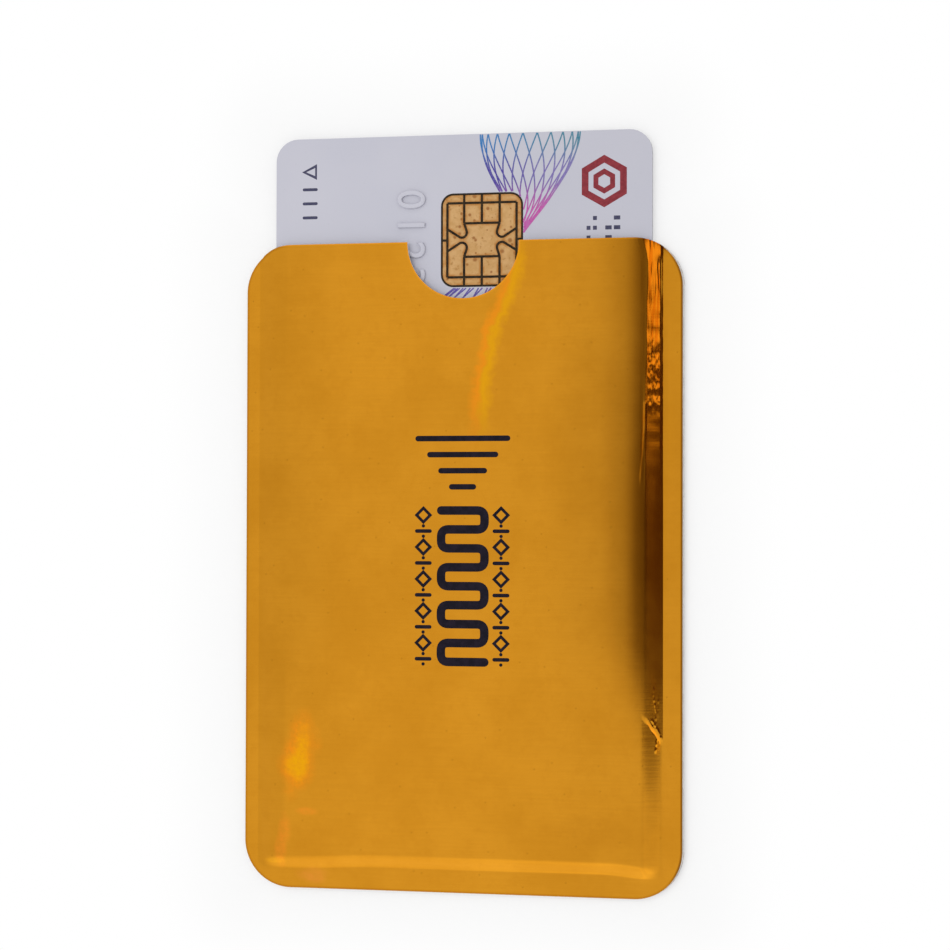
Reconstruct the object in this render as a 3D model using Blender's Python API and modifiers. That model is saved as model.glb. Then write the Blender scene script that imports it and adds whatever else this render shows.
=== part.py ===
"""A card sleeve of laminated foil with a contactless chip card in it, in metres, +Z up.

The sleeve lies on its back. The origin is the middle of the flat of its back, on the
surface that it rests on. +X is to the right, +Y towards the mouth, +Z out of the front.
Two laminated sheets, each of printed film, aluminium foil and paper, are sealed along
the left, the right and the foot. The card slides along Y between them, and stands out
of the mouth at rest. Everything is sized from the card and from the clearances round it.
"""
import math

import bmesh
import bpy

MM = 0.001

# Card outline: the size of a standard bank card
CARD_WIDTH = 53.98 * MM
CARD_LENGTH = 85.60 * MM
CARD_CORNER_RADIUS = 3.18 * MM
CARD_PULLED_OUT = 15.4 * MM

# Card layers, from the front to the back
CARD_OVERLAY = 0.05 * MM
CARD_CORE = 0.16 * MM
WIRE_ROOM = 0.14 * MM
CARD_INLAY = 0.17 * MM

# Sleeve layers, from the outside to the inside
FILM = 0.05 * MM
FOIL = 0.05 * MM
PAPER = 0.20 * MM
BOND_GAP = 0.01 * MM
SEAL = 0.05 * MM

# Pocket: what the sleeve leaves free round the card
RIGHT_CLEARANCE = 1.49 * MM
LEFT_CLEARANCE = 1.75 * MM
FOOT_CLEARANCE = 2.35 * MM
MOUTH_COVER = 0.30 * MM
CARD_FLOAT = 0.08 * MM
EMBOSSING_ROOM = 0.54 * MM

# Sleeve seams and corners
RIGHT_SEAM = 2.77 * MM
LEFT_SEAM = 2.51 * MM
FOOT_SEAM = 2.75 * MM
SLEEVE_CORNER_RADIUS = 6.7 * MM
BACK_OVERHANG = 0.15 * MM
SEAM_LIFT = 0.42 * MM
SEAL_INSET = 0.25 * MM

# Shoulders: the front sheet rises over each width from its seam, steepest at the seam,
# and the back sheet is flat again just before it reaches the card
FRONT_RIGHT_SHOULDER = 2.95 * MM
FRONT_LEFT_SHOULDER = 2.64 * MM
FRONT_FOOT_SHOULDER = 2.45 * MM
FRONT_CROWN = 0.06 * MM
FRONT_STEEPNESS = 1.3
BACK_STEEPNESS = 1.6
BACK_SHOULDER_SHARE = 0.98
FRONT_LINE_SHARES = (0.15, 0.35, 0.60, 0.82, 0.94, 1.0)
BACK_LINE_SHARES = (0.5, 1.0)
PLATEAU_SHARES = (0.2, 0.4, 0.6, 0.8)

# Thumb notch in the front sheet
NOTCH_RADIUS = 8.0 * MM
NOTCH_OFFSET = 0.5 * MM
NOTCH_SEGMENTS = 64

# Contact module: its middle from the card's upper short edge and right long edge
MODULE_FROM_TOP = 14.86 * MM
MODULE_FROM_RIGHT = 24.02 * MM
MODULE_WIDTH = 11.20 * MM
MODULE_LENGTH = 12.60 * MM
MODULE_CORNER_RADIUS = 1.5 * MM
MODULE_CLEARANCE = 0.05 * MM
TAPE_MARGIN = 0.24 * MM
CONTACT_METAL = 0.04 * MM
CARRIER_TAPE = 0.12 * MM
ENCAPSULATION_SIDE = 8.3 * MM
ENCAPSULATION_HEIGHT = 0.24 * MM
ENCAPSULATION_RADIUS = 1.2 * MM
DIE_SIDE = 2.2 * MM
DIE_HEIGHT = 0.15 * MM
DIE_CORNER_RADIUS = 0.2 * MM

# Etched lines between the contacts, alike in each quarter of the module
GROOVE = 0.34 * MM
PAD_PITCH = 2.54 * MM
SIDE_STRIP = 0.65 * MM
END_STRIP = 1.10 * MM
CENTRE_PAD_LENGTH = 4.7 * MM
TONGUE_RADIUS = 0.72 * MM
TONGUE_BULGE = 0.39 * MM
NECK_WIDTH = 0.70 * MM
FLARE_WIDTH = 3.1 * MM
TONGUE_ANGLES = (160.0, 290.0)
TONGUE_STEPS = 7

# Antenna: one wire laid round the card and round the module
ANTENNA_WIRE = 0.10 * MM
ANTENNA_TURNS = 4
ANTENNA_INSET = 3.6 * MM
ANTENNA_PITCH = 0.60 * MM
ANTENNA_CORNER_RADIUS = 2.4 * MM
ANTENNA_MODULE_MARGIN = 1.6 * MM
ANTENNA_CORNER_STEPS = 3

# Back of the card: magnetic stripe and signature panel
BACK_PRINT = 0.015 * MM
STRIPE_FROM_EDGE = 5.5 * MM
STRIPE_WIDTH = 12.7 * MM
STRIPE_END_MARGIN = 0.15 * MM
SIGNATURE_FROM_STRIPE = 3.4 * MM
SIGNATURE_WIDTH = 8.0 * MM
SIGNATURE_LENGTH = 60.0 * MM
SIGNATURE_FROM_TOP = 6.0 * MM
SIGNATURE_RADIUS = 0.8 * MM

# Finishes: colour, roughness and metallic share
GOLD_FILM = ((0.61, 0.25, 0.014), 0.35, 0.9)
BARE_FOIL = ((0.75, 0.76, 0.78), 0.30, 1.0)
LINER_PAPER = ((0.78, 0.77, 0.74), 0.85)
SET_GLUE = ((0.55, 0.48, 0.30), 0.6)
CARD_FACE = ((0.53, 0.53, 0.60), 0.25)
CARD_REVERSE = ((0.60, 0.60, 0.64), 0.25)
CARD_WHITE = ((0.52, 0.52, 0.56), 0.45)
INLAY_SHEET = ((0.70, 0.70, 0.68), 0.55)
CONTACT_GOLD = ((0.61, 0.38, 0.13), 0.35, 0.8)
TAPE_BROWN = ((0.10, 0.07, 0.03), 0.5)
BLACK_RESIN = ((0.015, 0.015, 0.018), 0.4)
SILICON = ((0.10, 0.11, 0.14), 0.2, 0.6)
COPPER_WIRE = ((0.72, 0.30, 0.15), 0.3, 1.0)
STRIPE_BLACK = ((0.02, 0.018, 0.016), 0.35)
PANEL_WHITE = ((0.85, 0.85, 0.83), 0.8)

# Steps of the outlines, and how far the cutters run past what they cut
CORNER_STEPS = 8
CUT_OVERRUN = 2.0 * MM
WELD = 0.0001 * MM

# Heights, worked out from the surface that the sleeve lies on
LAMINATE = FILM + FOIL + PAPER + 2 * BOND_GAP
CARD_BACK = LAMINATE + CARD_FLOAT
CARD_THICKNESS = 2 * (CARD_OVERLAY + CARD_CORE) + 3 * BOND_GAP + CARD_INLAY + WIRE_ROOM
CARD_FRONT = CARD_BACK + CARD_THICKNESS
FRONT_SEAM_Z = SEAM_LIFT + LAMINATE + BOND_GAP + SEAL + BOND_GAP
FRONT_PLATEAU_Z = CARD_FRONT + EMBOSSING_ROOM

# Places: x is measured from the middle of the card, y from the middle of the sleeve
POCKET_LEFT = -CARD_WIDTH / 2 - LEFT_CLEARANCE
POCKET_RIGHT = CARD_WIDTH / 2 + RIGHT_CLEARANCE
SLEEVE_LEFT = POCKET_LEFT - LEFT_SEAM
SLEEVE_RIGHT = POCKET_RIGHT + RIGHT_SEAM
SLEEVE_LENGTH = FOOT_SEAM + FOOT_CLEARANCE + CARD_LENGTH + MOUTH_COVER
MOUTH_Y = SLEEVE_LENGTH / 2
FOOT_Y = -SLEEVE_LENGTH / 2
POCKET_FOOT = FOOT_Y + FOOT_SEAM
CARD_MIDDLE_Y = POCKET_FOOT + FOOT_CLEARANCE + CARD_LENGTH / 2 + CARD_PULLED_OUT
MODULE_X = CARD_WIDTH / 2 - MODULE_FROM_RIGHT
MODULE_Y = CARD_LENGTH / 2 - MODULE_FROM_TOP


def collection(name):
    """A new collection in the scene."""
    made = bpy.data.collections.new(name)
    bpy.context.scene.collection.children.link(made)
    return made


def material(name, colour, roughness, metallic=0.0):
    """A plain finish for one piece."""
    made = bpy.data.materials.new(name)
    made.use_nodes = True
    shader = made.node_tree.nodes["Principled BSDF"]
    shader.inputs["Base Color"].default_value = (*colour, 1.0)
    shader.inputs["Roughness"].default_value = roughness
    shader.inputs["Metallic"].default_value = metallic
    return made


def add_object(name, mesh, owner, parent=None):
    """An object for a mesh, in a collection and under a parent."""
    made = bpy.data.objects.new(name, mesh)
    owner.objects.link(made)
    made.parent = parent
    return made


def finish(piece, colour, roughness, metallic=0.0):
    """Give a piece its own material."""
    piece.data.materials.clear()
    piece.data.materials.append(material(piece.name, colour, roughness, metallic))


def mark_cutter(cutter):
    """Show a cutter as a wire only."""
    cutter.hide_render = True
    cutter.display_type = "WIRE"
    return cutter


def rounded_outline(left, right, foot, top, radius, steps=CORNER_STEPS):
    """The points of a rounded rectangle, anticlockwise from the upper right corner."""
    centres = ((right - radius, top - radius), (left + radius, top - radius),
               (left + radius, foot + radius), (right - radius, foot + radius))
    points = []
    for quarter, (x, y) in enumerate(centres):
        for step in range(steps + 1):
            angle = (quarter + step / steps) * math.pi / 2
            points.append((x + radius * math.cos(angle), y + radius * math.sin(angle)))
    return points


def mesh_of(curve):
    """Turn a curve object into a welded mesh and remove the curve."""
    bpy.context.view_layer.update()
    depsgraph = bpy.context.evaluated_depsgraph_get()
    mesh = bpy.data.meshes.new_from_object(curve.evaluated_get(depsgraph))
    shape = bmesh.new()
    shape.from_mesh(mesh)
    bmesh.ops.remove_doubles(shape, verts=shape.verts, dist=WELD)
    shape.to_mesh(mesh)
    shape.free()
    bpy.data.curves.remove(curve.data)
    return mesh


def curve_object(name, points, owner, dimensions, cyclic):
    """A poly line through points in the plane."""
    data = bpy.data.curves.new(name, "CURVE")
    data.dimensions = dimensions
    line = data.splines.new("POLY")
    line.points.add(len(points) - 1)
    for target, (x, y) in zip(line.points, points):
        target.co = (x, y, 0.0, 1.0)
    line.use_cyclic_u = cyclic
    made = bpy.data.objects.new(name, data)
    owner.objects.link(made)
    return made


def plate(name, outline, low, high, owner, parent=None):
    """A flat outline with a thickness, from one height to another."""
    curve = curve_object(name + "_outline", outline, owner, "2D", True)
    curve.data.fill_mode = "BOTH"
    curve.data.extrude = (high - low) / 2
    mesh = mesh_of(curve)
    mesh.name = name
    made = add_object(name, mesh, owner, parent)
    made.location.z = (low + high) / 2
    return made


def cut(piece, cutter, operation="DIFFERENCE"):
    """Cut a piece with a cutter, or with a collection of cutters."""
    modifier = piece.modifiers.new("cut", "BOOLEAN")
    modifier.solver = "EXACT"
    modifier.operation = operation
    if isinstance(cutter, bpy.types.Collection):
        modifier.operand_type = "COLLECTION"
        modifier.collection = cutter
    else:
        modifier.object = cutter


def shoulder(distance, width, steepness):
    """The share of its full rise that a sheet has reached at a distance from its seam."""
    run = min(max(distance / width, 0.0), 1.0)
    return 1.0 - (1.0 - run) ** steepness


def fullness(x, y, left, right, foot, steepness):
    """How full the pocket is at a point, from 0 on the seams to 1 on the plateau."""
    across = shoulder(x - POCKET_LEFT, left, steepness) * shoulder(POCKET_RIGHT - x, right, steepness)
    return across * shoulder(y - POCKET_FOOT, foot, steepness)


def front_height(x, y):
    """The inner face of the front sheet, which the card and its embossing clear."""
    full = fullness(x, y, FRONT_LEFT_SHOULDER, FRONT_RIGHT_SHOULDER, FRONT_FOOT_SHOULDER,
                    FRONT_STEEPNESS)
    across = (x - POCKET_LEFT) / (POCKET_RIGHT - POCKET_LEFT)
    crown = FRONT_CROWN * max(4 * across * (1 - across), 0.0)
    return FRONT_SEAM_Z + (FRONT_PLATEAU_Z - FRONT_SEAM_Z + crown) * full


def back_height(x, y):
    """The outer face of the back sheet: flat on the table, and lifted at the seams."""
    full = fullness(x, y, BACK_SHOULDER_SHARE * LEFT_CLEARANCE, BACK_SHOULDER_SHARE * RIGHT_CLEARANCE,
                    BACK_SHOULDER_SHARE * FOOT_CLEARANCE, BACK_STEEPNESS)
    return SEAM_LIFT * (1 - full)


def lines_between(low, high):
    """Grid lines over the plateau, between the ends of two shoulders."""
    return [low + share * (high - low) for share in PLATEAU_SHARES]


def sheet_lines(left, right, foot, shares):
    """The grid lines of a sheet across and along, closer together over its shoulders."""
    across = [SLEEVE_LEFT - CUT_OVERRUN, POCKET_LEFT]
    across += [POCKET_LEFT + share * left for share in shares]
    across += lines_between(POCKET_LEFT + left, POCKET_RIGHT - right)
    across += [POCKET_RIGHT - share * right for share in reversed(shares)]
    across += [POCKET_RIGHT, SLEEVE_RIGHT + BACK_OVERHANG + CUT_OVERRUN]
    along = [FOOT_Y - CUT_OVERRUN, POCKET_FOOT]
    along += [POCKET_FOOT + share * foot for share in shares]
    along += lines_between(POCKET_FOOT + foot, MOUTH_Y)
    along += [MOUTH_Y + CUT_OVERRUN]
    return across, along


def sheet_surface(name, across, along, height):
    """An open surface over grid lines, in triangles, with its faces up."""
    mesh = bpy.data.meshes.new(name)
    shape = bmesh.new()
    bmesh.ops.create_grid(shape, x_segments=len(across) - 1, y_segments=len(along) - 1)
    for index, vert in enumerate(shape.verts):
        x = across[index % len(across)]
        y = along[index // len(across)]
        vert.co = (x, y, height(x, y))
    bmesh.ops.triangulate(shape, faces=shape.faces, quad_method="FIXED")
    shape.to_mesh(mesh)
    shape.free()
    return mesh


def laminate_layer(name, surface, start, thickness, owner, cutters):
    """One layer of a laminate: a shell that starts at a distance above the surface."""
    layer = add_object(name, surface.copy(), owner)
    solid = layer.modifiers.new("thickness", "SOLIDIFY")
    solid.thickness = thickness
    solid.offset = 1 + 2 * start / thickness
    for cutter, operation in cutters:
        cut(layer, cutter, operation)
    return layer


def make_sleeve(parts, cutters):
    """The two laminated sheets and the seal between them."""
    low = -CUT_OVERRUN
    high = FRONT_PLATEAU_Z + LAMINATE + CUT_OVERRUN
    front_outline = rounded_outline(SLEEVE_LEFT, SLEEVE_RIGHT, FOOT_Y, MOUTH_Y, SLEEVE_CORNER_RADIUS)
    back_outline = rounded_outline(SLEEVE_LEFT, SLEEVE_RIGHT + BACK_OVERHANG, FOOT_Y, MOUTH_Y,
                                   SLEEVE_CORNER_RADIUS)
    front_trim = mark_cutter(plate("front_trim", front_outline, low, high, cutters))
    back_trim = mark_cutter(plate("back_trim", back_outline, low, high, cutters))
    notch = mark_cutter(make_notch_cutter(cutters))

    across, along = sheet_lines(FRONT_LEFT_SHOULDER, FRONT_RIGHT_SHOULDER, FRONT_FOOT_SHOULDER,
                                FRONT_LINE_SHARES)
    surface = sheet_surface("front_surface", across, along, front_height)
    cuts = ((front_trim, "INTERSECT"), (notch, "DIFFERENCE"))
    paper = laminate_layer("front_paper", surface, 0.0, PAPER, parts, cuts)
    foil = laminate_layer("front_foil", surface, PAPER + BOND_GAP, FOIL, parts, cuts)
    film = laminate_layer("front_film", surface, LAMINATE - FILM, FILM, parts, cuts)
    finish(paper, *LINER_PAPER)
    finish(foil, *BARE_FOIL)
    finish(film, *GOLD_FILM)

    across, along = sheet_lines(BACK_SHOULDER_SHARE * LEFT_CLEARANCE,
                                BACK_SHOULDER_SHARE * RIGHT_CLEARANCE,
                                BACK_SHOULDER_SHARE * FOOT_CLEARANCE,
                                BACK_LINE_SHARES)
    surface = sheet_surface("back_surface", across, along, back_height)
    cuts = ((back_trim, "INTERSECT"),)
    film = laminate_layer("back_film", surface, 0.0, FILM, parts, cuts)
    foil = laminate_layer("back_foil", surface, FILM + BOND_GAP, FOIL, parts, cuts)
    paper = laminate_layer("back_paper", surface, LAMINATE - PAPER, PAPER, parts, cuts)
    finish(film, *GOLD_FILM)
    finish(foil, *BARE_FOIL)
    finish(paper, *LINER_PAPER)

    make_edge_seal(parts, cutters)


def make_notch_cutter(cutters):
    """A round cutter through the front sheet at the middle of the mouth."""
    mesh = bpy.data.meshes.new("notch_cutter")
    shape = bmesh.new()
    depth = FRONT_PLATEAU_Z - FRONT_SEAM_Z + LAMINATE + 2 * CUT_OVERRUN
    bmesh.ops.create_cone(shape, cap_ends=True, segments=NOTCH_SEGMENTS, radius1=NOTCH_RADIUS,
                          radius2=NOTCH_RADIUS, depth=depth)
    shape.to_mesh(mesh)
    shape.free()
    cutter = add_object("notch_cutter", mesh, cutters)
    cutter.location = (NOTCH_OFFSET, MOUTH_Y, FRONT_SEAM_Z - CUT_OVERRUN + depth / 2)
    return cutter


def make_edge_seal(parts, cutters):
    """The seal between the two sheets: a flat U along the left, the foot and the right."""
    outline = rounded_outline(SLEEVE_LEFT + SEAL_INSET, SLEEVE_RIGHT - SEAL_INSET,
                              FOOT_Y + SEAL_INSET, MOUTH_Y - SEAL_INSET,
                              SLEEVE_CORNER_RADIUS - SEAL_INSET)
    low = SEAM_LIFT + LAMINATE + BOND_GAP
    seal = plate("edge_seal", outline, low, low + SEAL, parts)
    pocket = ((POCKET_RIGHT + SEAL_INSET, MOUTH_Y + CUT_OVERRUN),
              (POCKET_LEFT - SEAL_INSET, MOUTH_Y + CUT_OVERRUN),
              (POCKET_LEFT - SEAL_INSET, POCKET_FOOT - SEAL_INSET),
              (POCKET_RIGHT + SEAL_INSET, POCKET_FOOT - SEAL_INSET))
    opening = plate("pocket_cutter", pocket, low - CUT_OVERRUN, low + CUT_OVERRUN, cutters)
    cut(seal, mark_cutter(opening))
    finish(seal, *SET_GLUE)


def card_outline(inset=0.0):
    """The card's rounded outline about its own middle, drawn in by an inset."""
    half_width = CARD_WIDTH / 2 - inset
    half_length = CARD_LENGTH / 2 - inset
    return rounded_outline(-half_width, half_width, -half_length, half_length,
                           CARD_CORNER_RADIUS - inset)


def module_outline(margin=0.0):
    """The contact module's rounded outline in the card, with a margin round it."""
    half_width = MODULE_WIDTH / 2 + margin
    half_length = MODULE_LENGTH / 2 + margin
    return rounded_outline(MODULE_X - half_width, MODULE_X + half_width, MODULE_Y - half_length,
                           MODULE_Y + half_length, MODULE_CORNER_RADIUS + margin)


def square_outline(side, radius):
    """A rounded square about the middle of the contact module."""
    half = side / 2
    return rounded_outline(MODULE_X - half, MODULE_X + half, MODULE_Y - half, MODULE_Y + half, radius)


def make_card(parts, cutters):
    """The card's layers, module, antenna and back, on the empty that slides along Y."""
    carriage = bpy.data.objects.new("card_carriage", None)
    parts.objects.link(carriage)
    carriage.location = (0.0, CARD_MIDDLE_Y, CARD_BACK)

    module_hole = plate("module_cutter", module_outline(TAPE_MARGIN + MODULE_CLEARANCE),
                        -CUT_OVERRUN, CARD_THICKNESS + CUT_OVERRUN, cutters, carriage)
    resin_hole = plate("resin_cutter",
                       square_outline(ENCAPSULATION_SIDE + 2 * MODULE_CLEARANCE,
                                      ENCAPSULATION_RADIUS + MODULE_CLEARANCE),
                       -CUT_OVERRUN, CARD_THICKNESS + CUT_OVERRUN, cutters, carriage)
    mark_cutter(module_hole)
    mark_cutter(resin_hole)

    layers = (("card_back_overlay", CARD_OVERLAY, None, CARD_REVERSE),
              ("card_back_core", CARD_CORE, None, CARD_WHITE),
              ("card_inlay", CARD_INLAY, resin_hole, INLAY_SHEET),
              ("card_front_core", CARD_CORE, module_hole, CARD_WHITE),
              ("card_front_overlay", CARD_OVERLAY, module_hole, CARD_FACE))
    low = 0.0
    for name, thickness, hole, look in layers:
        layer = plate(name, card_outline(), low, low + thickness, parts, carriage)
        if hole is not None:
            cut(layer, hole)
        finish(layer, *look)
        low += thickness + (WIRE_ROOM if name == "card_inlay" else BOND_GAP)

    make_module(parts, cutters, carriage)
    make_antenna(parts, carriage)
    make_card_back(parts, carriage)


def make_module(parts, cutters, carriage):
    """The contact module: etched contacts on a tape, with the resin and die below it."""
    metal_low = CARD_THICKNESS - CONTACT_METAL
    make_contacts(metal_low, CARD_THICKNESS, parts, cutters, carriage)

    tape_high = metal_low - BOND_GAP
    tape_low = tape_high - CARRIER_TAPE
    tape = plate("chip_carrier_tape", module_outline(TAPE_MARGIN), tape_low, tape_high, parts,
                 carriage)
    finish(tape, *TAPE_BROWN)

    resin_high = tape_low - BOND_GAP
    resin = plate("chip_encapsulation", square_outline(ENCAPSULATION_SIDE, ENCAPSULATION_RADIUS),
                  resin_high - ENCAPSULATION_HEIGHT, resin_high, parts, carriage)
    die_room = square_outline(DIE_SIDE + 2 * BOND_GAP, DIE_CORNER_RADIUS + BOND_GAP)
    recess = plate("die_cutter", die_room, resin_high - DIE_HEIGHT - BOND_GAP,
                   resin_high + CUT_OVERRUN, cutters, carriage)
    cut(resin, mark_cutter(recess))
    finish(resin, *BLACK_RESIN)

    die = plate("chip_die", square_outline(DIE_SIDE, DIE_CORNER_RADIUS),
                resin_high - DIE_HEIGHT, resin_high, parts, carriage)
    finish(die, *SILICON)


def tongue_line():
    """The etched line round the end of one corner pad, in the first quarter."""
    middle = (PAD_PITCH - TONGUE_BULGE + TONGUE_RADIUS, NECK_WIDTH / 2 + TONGUE_RADIUS)
    first, last = (math.radians(angle) for angle in TONGUE_ANGLES)
    points = [(PAD_PITCH, CENTRE_PAD_LENGTH / 2)]
    for step in range(TONGUE_STEPS + 1):
        angle = first + (last - first) * step / TONGUE_STEPS
        points.append((middle[0] + TONGUE_RADIUS * math.cos(angle),
                       middle[1] + TONGUE_RADIUS * math.sin(angle)))
    points.append((MODULE_WIDTH / 2 - SIDE_STRIP, FLARE_WIDTH / 2))
    return points


def groove_lines():
    """Every etched line of the module, about its middle."""
    side = MODULE_WIDTH / 2 - SIDE_STRIP
    end = MODULE_LENGTH / 2 - END_STRIP
    half = CENTRE_PAD_LENGTH / 2
    beyond_x = MODULE_WIDTH / 2 + CUT_OVERRUN
    beyond_y = MODULE_LENGTH / 2 + CUT_OVERRUN
    lines = []
    for sign in (1, -1):
        lines.append([(0.0, sign * half), (0.0, sign * beyond_y)])
        lines.append([(-side, sign * end), (side, sign * end)])
        lines.append([(-PAD_PITCH, sign * half), (PAD_PITCH, sign * half)])
        lines.append([(sign * side, -end), (sign * side, end)])
        lines.append([(sign * side, 0.0), (sign * beyond_x, 0.0)])
        for other in (1, -1):
            lines.append([(other * PAD_PITCH, sign * half), (other * PAD_PITCH, sign * beyond_y)])
            lines.append([(other * x, sign * y) for x, y in tongue_line()])
    return lines


def make_grooves(low, high, owner, carriage):
    """A thin upright wall along each etched line, as a collection of cutters."""
    walls = bpy.data.collections.new("groove_cutters")
    owner.children.link(walls)
    for index, line in enumerate(groove_lines()):
        name = f"groove_{index + 1}"
        points = [(MODULE_X + x, MODULE_Y + y) for x, y in line]
        curve = curve_object(name + "_line", points, walls, "2D", False)
        curve.data.fill_mode = "NONE"
        curve.data.extrude = (high - low) / 2 + CUT_OVERRUN
        wall = add_object(name, mesh_of(curve), walls, carriage)
        wall.location.z = (low + high) / 2
        solid = wall.modifiers.new("width", "SOLIDIFY")
        solid.thickness = GROOVE
        solid.offset = 0.0
        solid.use_even_offset = True
        mark_cutter(wall)
    return walls


def split_islands(source, owner, parent):
    """One new object for each separate body of an evaluated object."""
    depsgraph = bpy.context.evaluated_depsgraph_get()
    shape = bmesh.new()
    shape.from_mesh(source.evaluated_get(depsgraph).to_mesh())
    islands = []
    unseen = set(shape.verts)
    while unseen:
        island = {unseen.pop()}
        edge = set(island)
        while edge:
            edge = {link.other_vert(vert) for vert in edge for link in vert.link_edges} - island
            island |= edge
        unseen -= island
        islands.append(island)
    pieces = []
    for island in islands:
        body = shape.copy()
        body.verts.ensure_lookup_table()
        keep = {vert.index for vert in island}
        bmesh.ops.delete(body, geom=[v for v in body.verts if v.index not in keep], context="VERTS")
        mesh = bpy.data.meshes.new(source.name)
        body.to_mesh(mesh)
        body.free()
        piece = add_object(source.name, mesh, owner, parent)
        piece.location = source.location
        pieces.append(piece)
    shape.free()
    return pieces


def contact_name(spots):
    """The name of a contact from where its points lie about the middle of the module."""
    across = [spot.x - MODULE_X for spot in spots]
    along = [spot.y - MODULE_Y for spot in spots]
    if min(along) < 0 < max(along):
        return "contact_centre"
    side = "left" if sum(across) < 0 else "right"
    end = "upper" if sum(along) > 0 else "lower"
    reach_x = max(abs(x) for x in across)
    reach_y = max(abs(y) for y in along)
    if reach_x > MODULE_WIDTH / 2 - SIDE_STRIP:
        return f"contact_corner_strip_{end}_{side}"
    if reach_y > MODULE_LENGTH / 2 - END_STRIP:
        return f"contact_end_strip_{end}_{side}"
    column = "outer" if reach_x > PAD_PITCH else "inner"
    return f"contact_pad_{end}_{side}_{column}"


def make_contacts(low, high, parts, cutters, carriage):
    """The gold contacts: one rounded plate, parted along its etched lines."""
    sheet = plate("contact_sheet", module_outline(), low, high, cutters, carriage)
    cut(sheet, make_grooves(low, high, cutters, carriage))
    bpy.context.view_layer.update()
    for piece in split_islands(sheet, parts, carriage):
        piece.name = contact_name([vert.co for vert in piece.data.vertices])
        piece.data.name = piece.name
        finish(piece, *CONTACT_GOLD)
    bpy.data.objects.remove(sheet)


def antenna_corners():
    """The corners of the antenna: turns that draw in, and a last loop round the module."""
    corners = []
    for turn in range(ANTENNA_TURNS):
        inset = ANTENNA_INSET + turn * ANTENNA_PITCH
        right = CARD_WIDTH / 2 - inset
        top = CARD_LENGTH / 2 - inset
        if turn < ANTENNA_TURNS - 1:
            corners += [(right, top), (-right, top), (-right, -top)]
            corners.append((right - ANTENNA_PITCH, -top))
    loop_x = MODULE_WIDTH / 2 + ANTENNA_MODULE_MARGIN
    loop_foot = MODULE_Y - MODULE_LENGTH / 2 - ANTENNA_MODULE_MARGIN
    corners += [(right, top), (MODULE_X + loop_x, top), (MODULE_X + loop_x, loop_foot),
                (MODULE_X - loop_x, loop_foot), (MODULE_X - loop_x, top), (-right, top),
                (-right, -top), (right - ANTENNA_PITCH, -top)]
    return corners


def rounded_path(corners, radius, steps):
    """A path along straight runs, with each corner between them rounded."""
    points = [corners[0]]
    for before, corner, after in zip(corners, corners[1:], corners[2:]):
        into = (before[0] - corner[0], before[1] - corner[1])
        out = (after[0] - corner[0], after[1] - corner[1])
        into_length = math.hypot(*into)
        out_length = math.hypot(*out)
        for step in range(steps + 1):
            share = step / steps
            back = radius * (1 - share) ** 2 / into_length
            ahead = radius * share ** 2 / out_length
            points.append((corner[0] + into[0] * back + out[0] * ahead,
                           corner[1] + into[1] * back + out[1] * ahead))
    points.append(corners[-1])
    return points


def make_antenna(parts, carriage):
    """The antenna wire, in the room between the inlay and the front core."""
    path = rounded_path(antenna_corners(), ANTENNA_CORNER_RADIUS, ANTENNA_CORNER_STEPS)
    curve = curve_object("antenna_line", path, parts, "3D", False)
    curve.data.bevel_depth = ANTENNA_WIRE / 2
    curve.data.bevel_resolution = 1
    curve.data.use_fill_caps = True
    antenna = add_object("antenna_coil", mesh_of(curve), parts, carriage)
    inlay_top = CARD_OVERLAY + CARD_CORE + CARD_INLAY + 2 * BOND_GAP
    antenna.location.z = inlay_top + WIRE_ROOM / 2
    finish(antenna, *COPPER_WIRE)


def make_card_back(parts, carriage):
    """The magnetic stripe and the signature panel, printed on the back of the card."""
    high = -BOND_GAP
    low = high - BACK_PRINT
    stripe_right = CARD_WIDTH / 2 - STRIPE_FROM_EDGE
    stripe_left = stripe_right - STRIPE_WIDTH
    stripe_end = CARD_LENGTH / 2 - STRIPE_END_MARGIN
    stripe = plate("magnetic_stripe",
                   ((stripe_right, stripe_end), (stripe_left, stripe_end),
                    (stripe_left, -stripe_end), (stripe_right, -stripe_end)),
                   low, high, parts, carriage)
    finish(stripe, *STRIPE_BLACK)

    panel_right = stripe_left - SIGNATURE_FROM_STRIPE
    panel_top = CARD_LENGTH / 2 - SIGNATURE_FROM_TOP
    outline = rounded_outline(panel_right - SIGNATURE_WIDTH, panel_right,
                              panel_top - SIGNATURE_LENGTH, panel_top, SIGNATURE_RADIUS)
    panel = plate("signature_panel", outline, low, high, parts, carriage)
    finish(panel, *PANEL_WHITE)


def main():
    """Clear the scene and make the sleeve and the card."""
    for item in list(bpy.data.objects):
        bpy.data.objects.remove(item)
    parts = collection("rfid_blocking_card_holder")
    cutters = collection("cutters")
    make_sleeve(parts, cutters)
    make_card(parts, cutters)


main()
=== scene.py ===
"""Looks of the foil card sleeve and its card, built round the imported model, in metres."""
import math

import bmesh
import bpy
from mathutils import Matrix, Vector, noise


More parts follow.
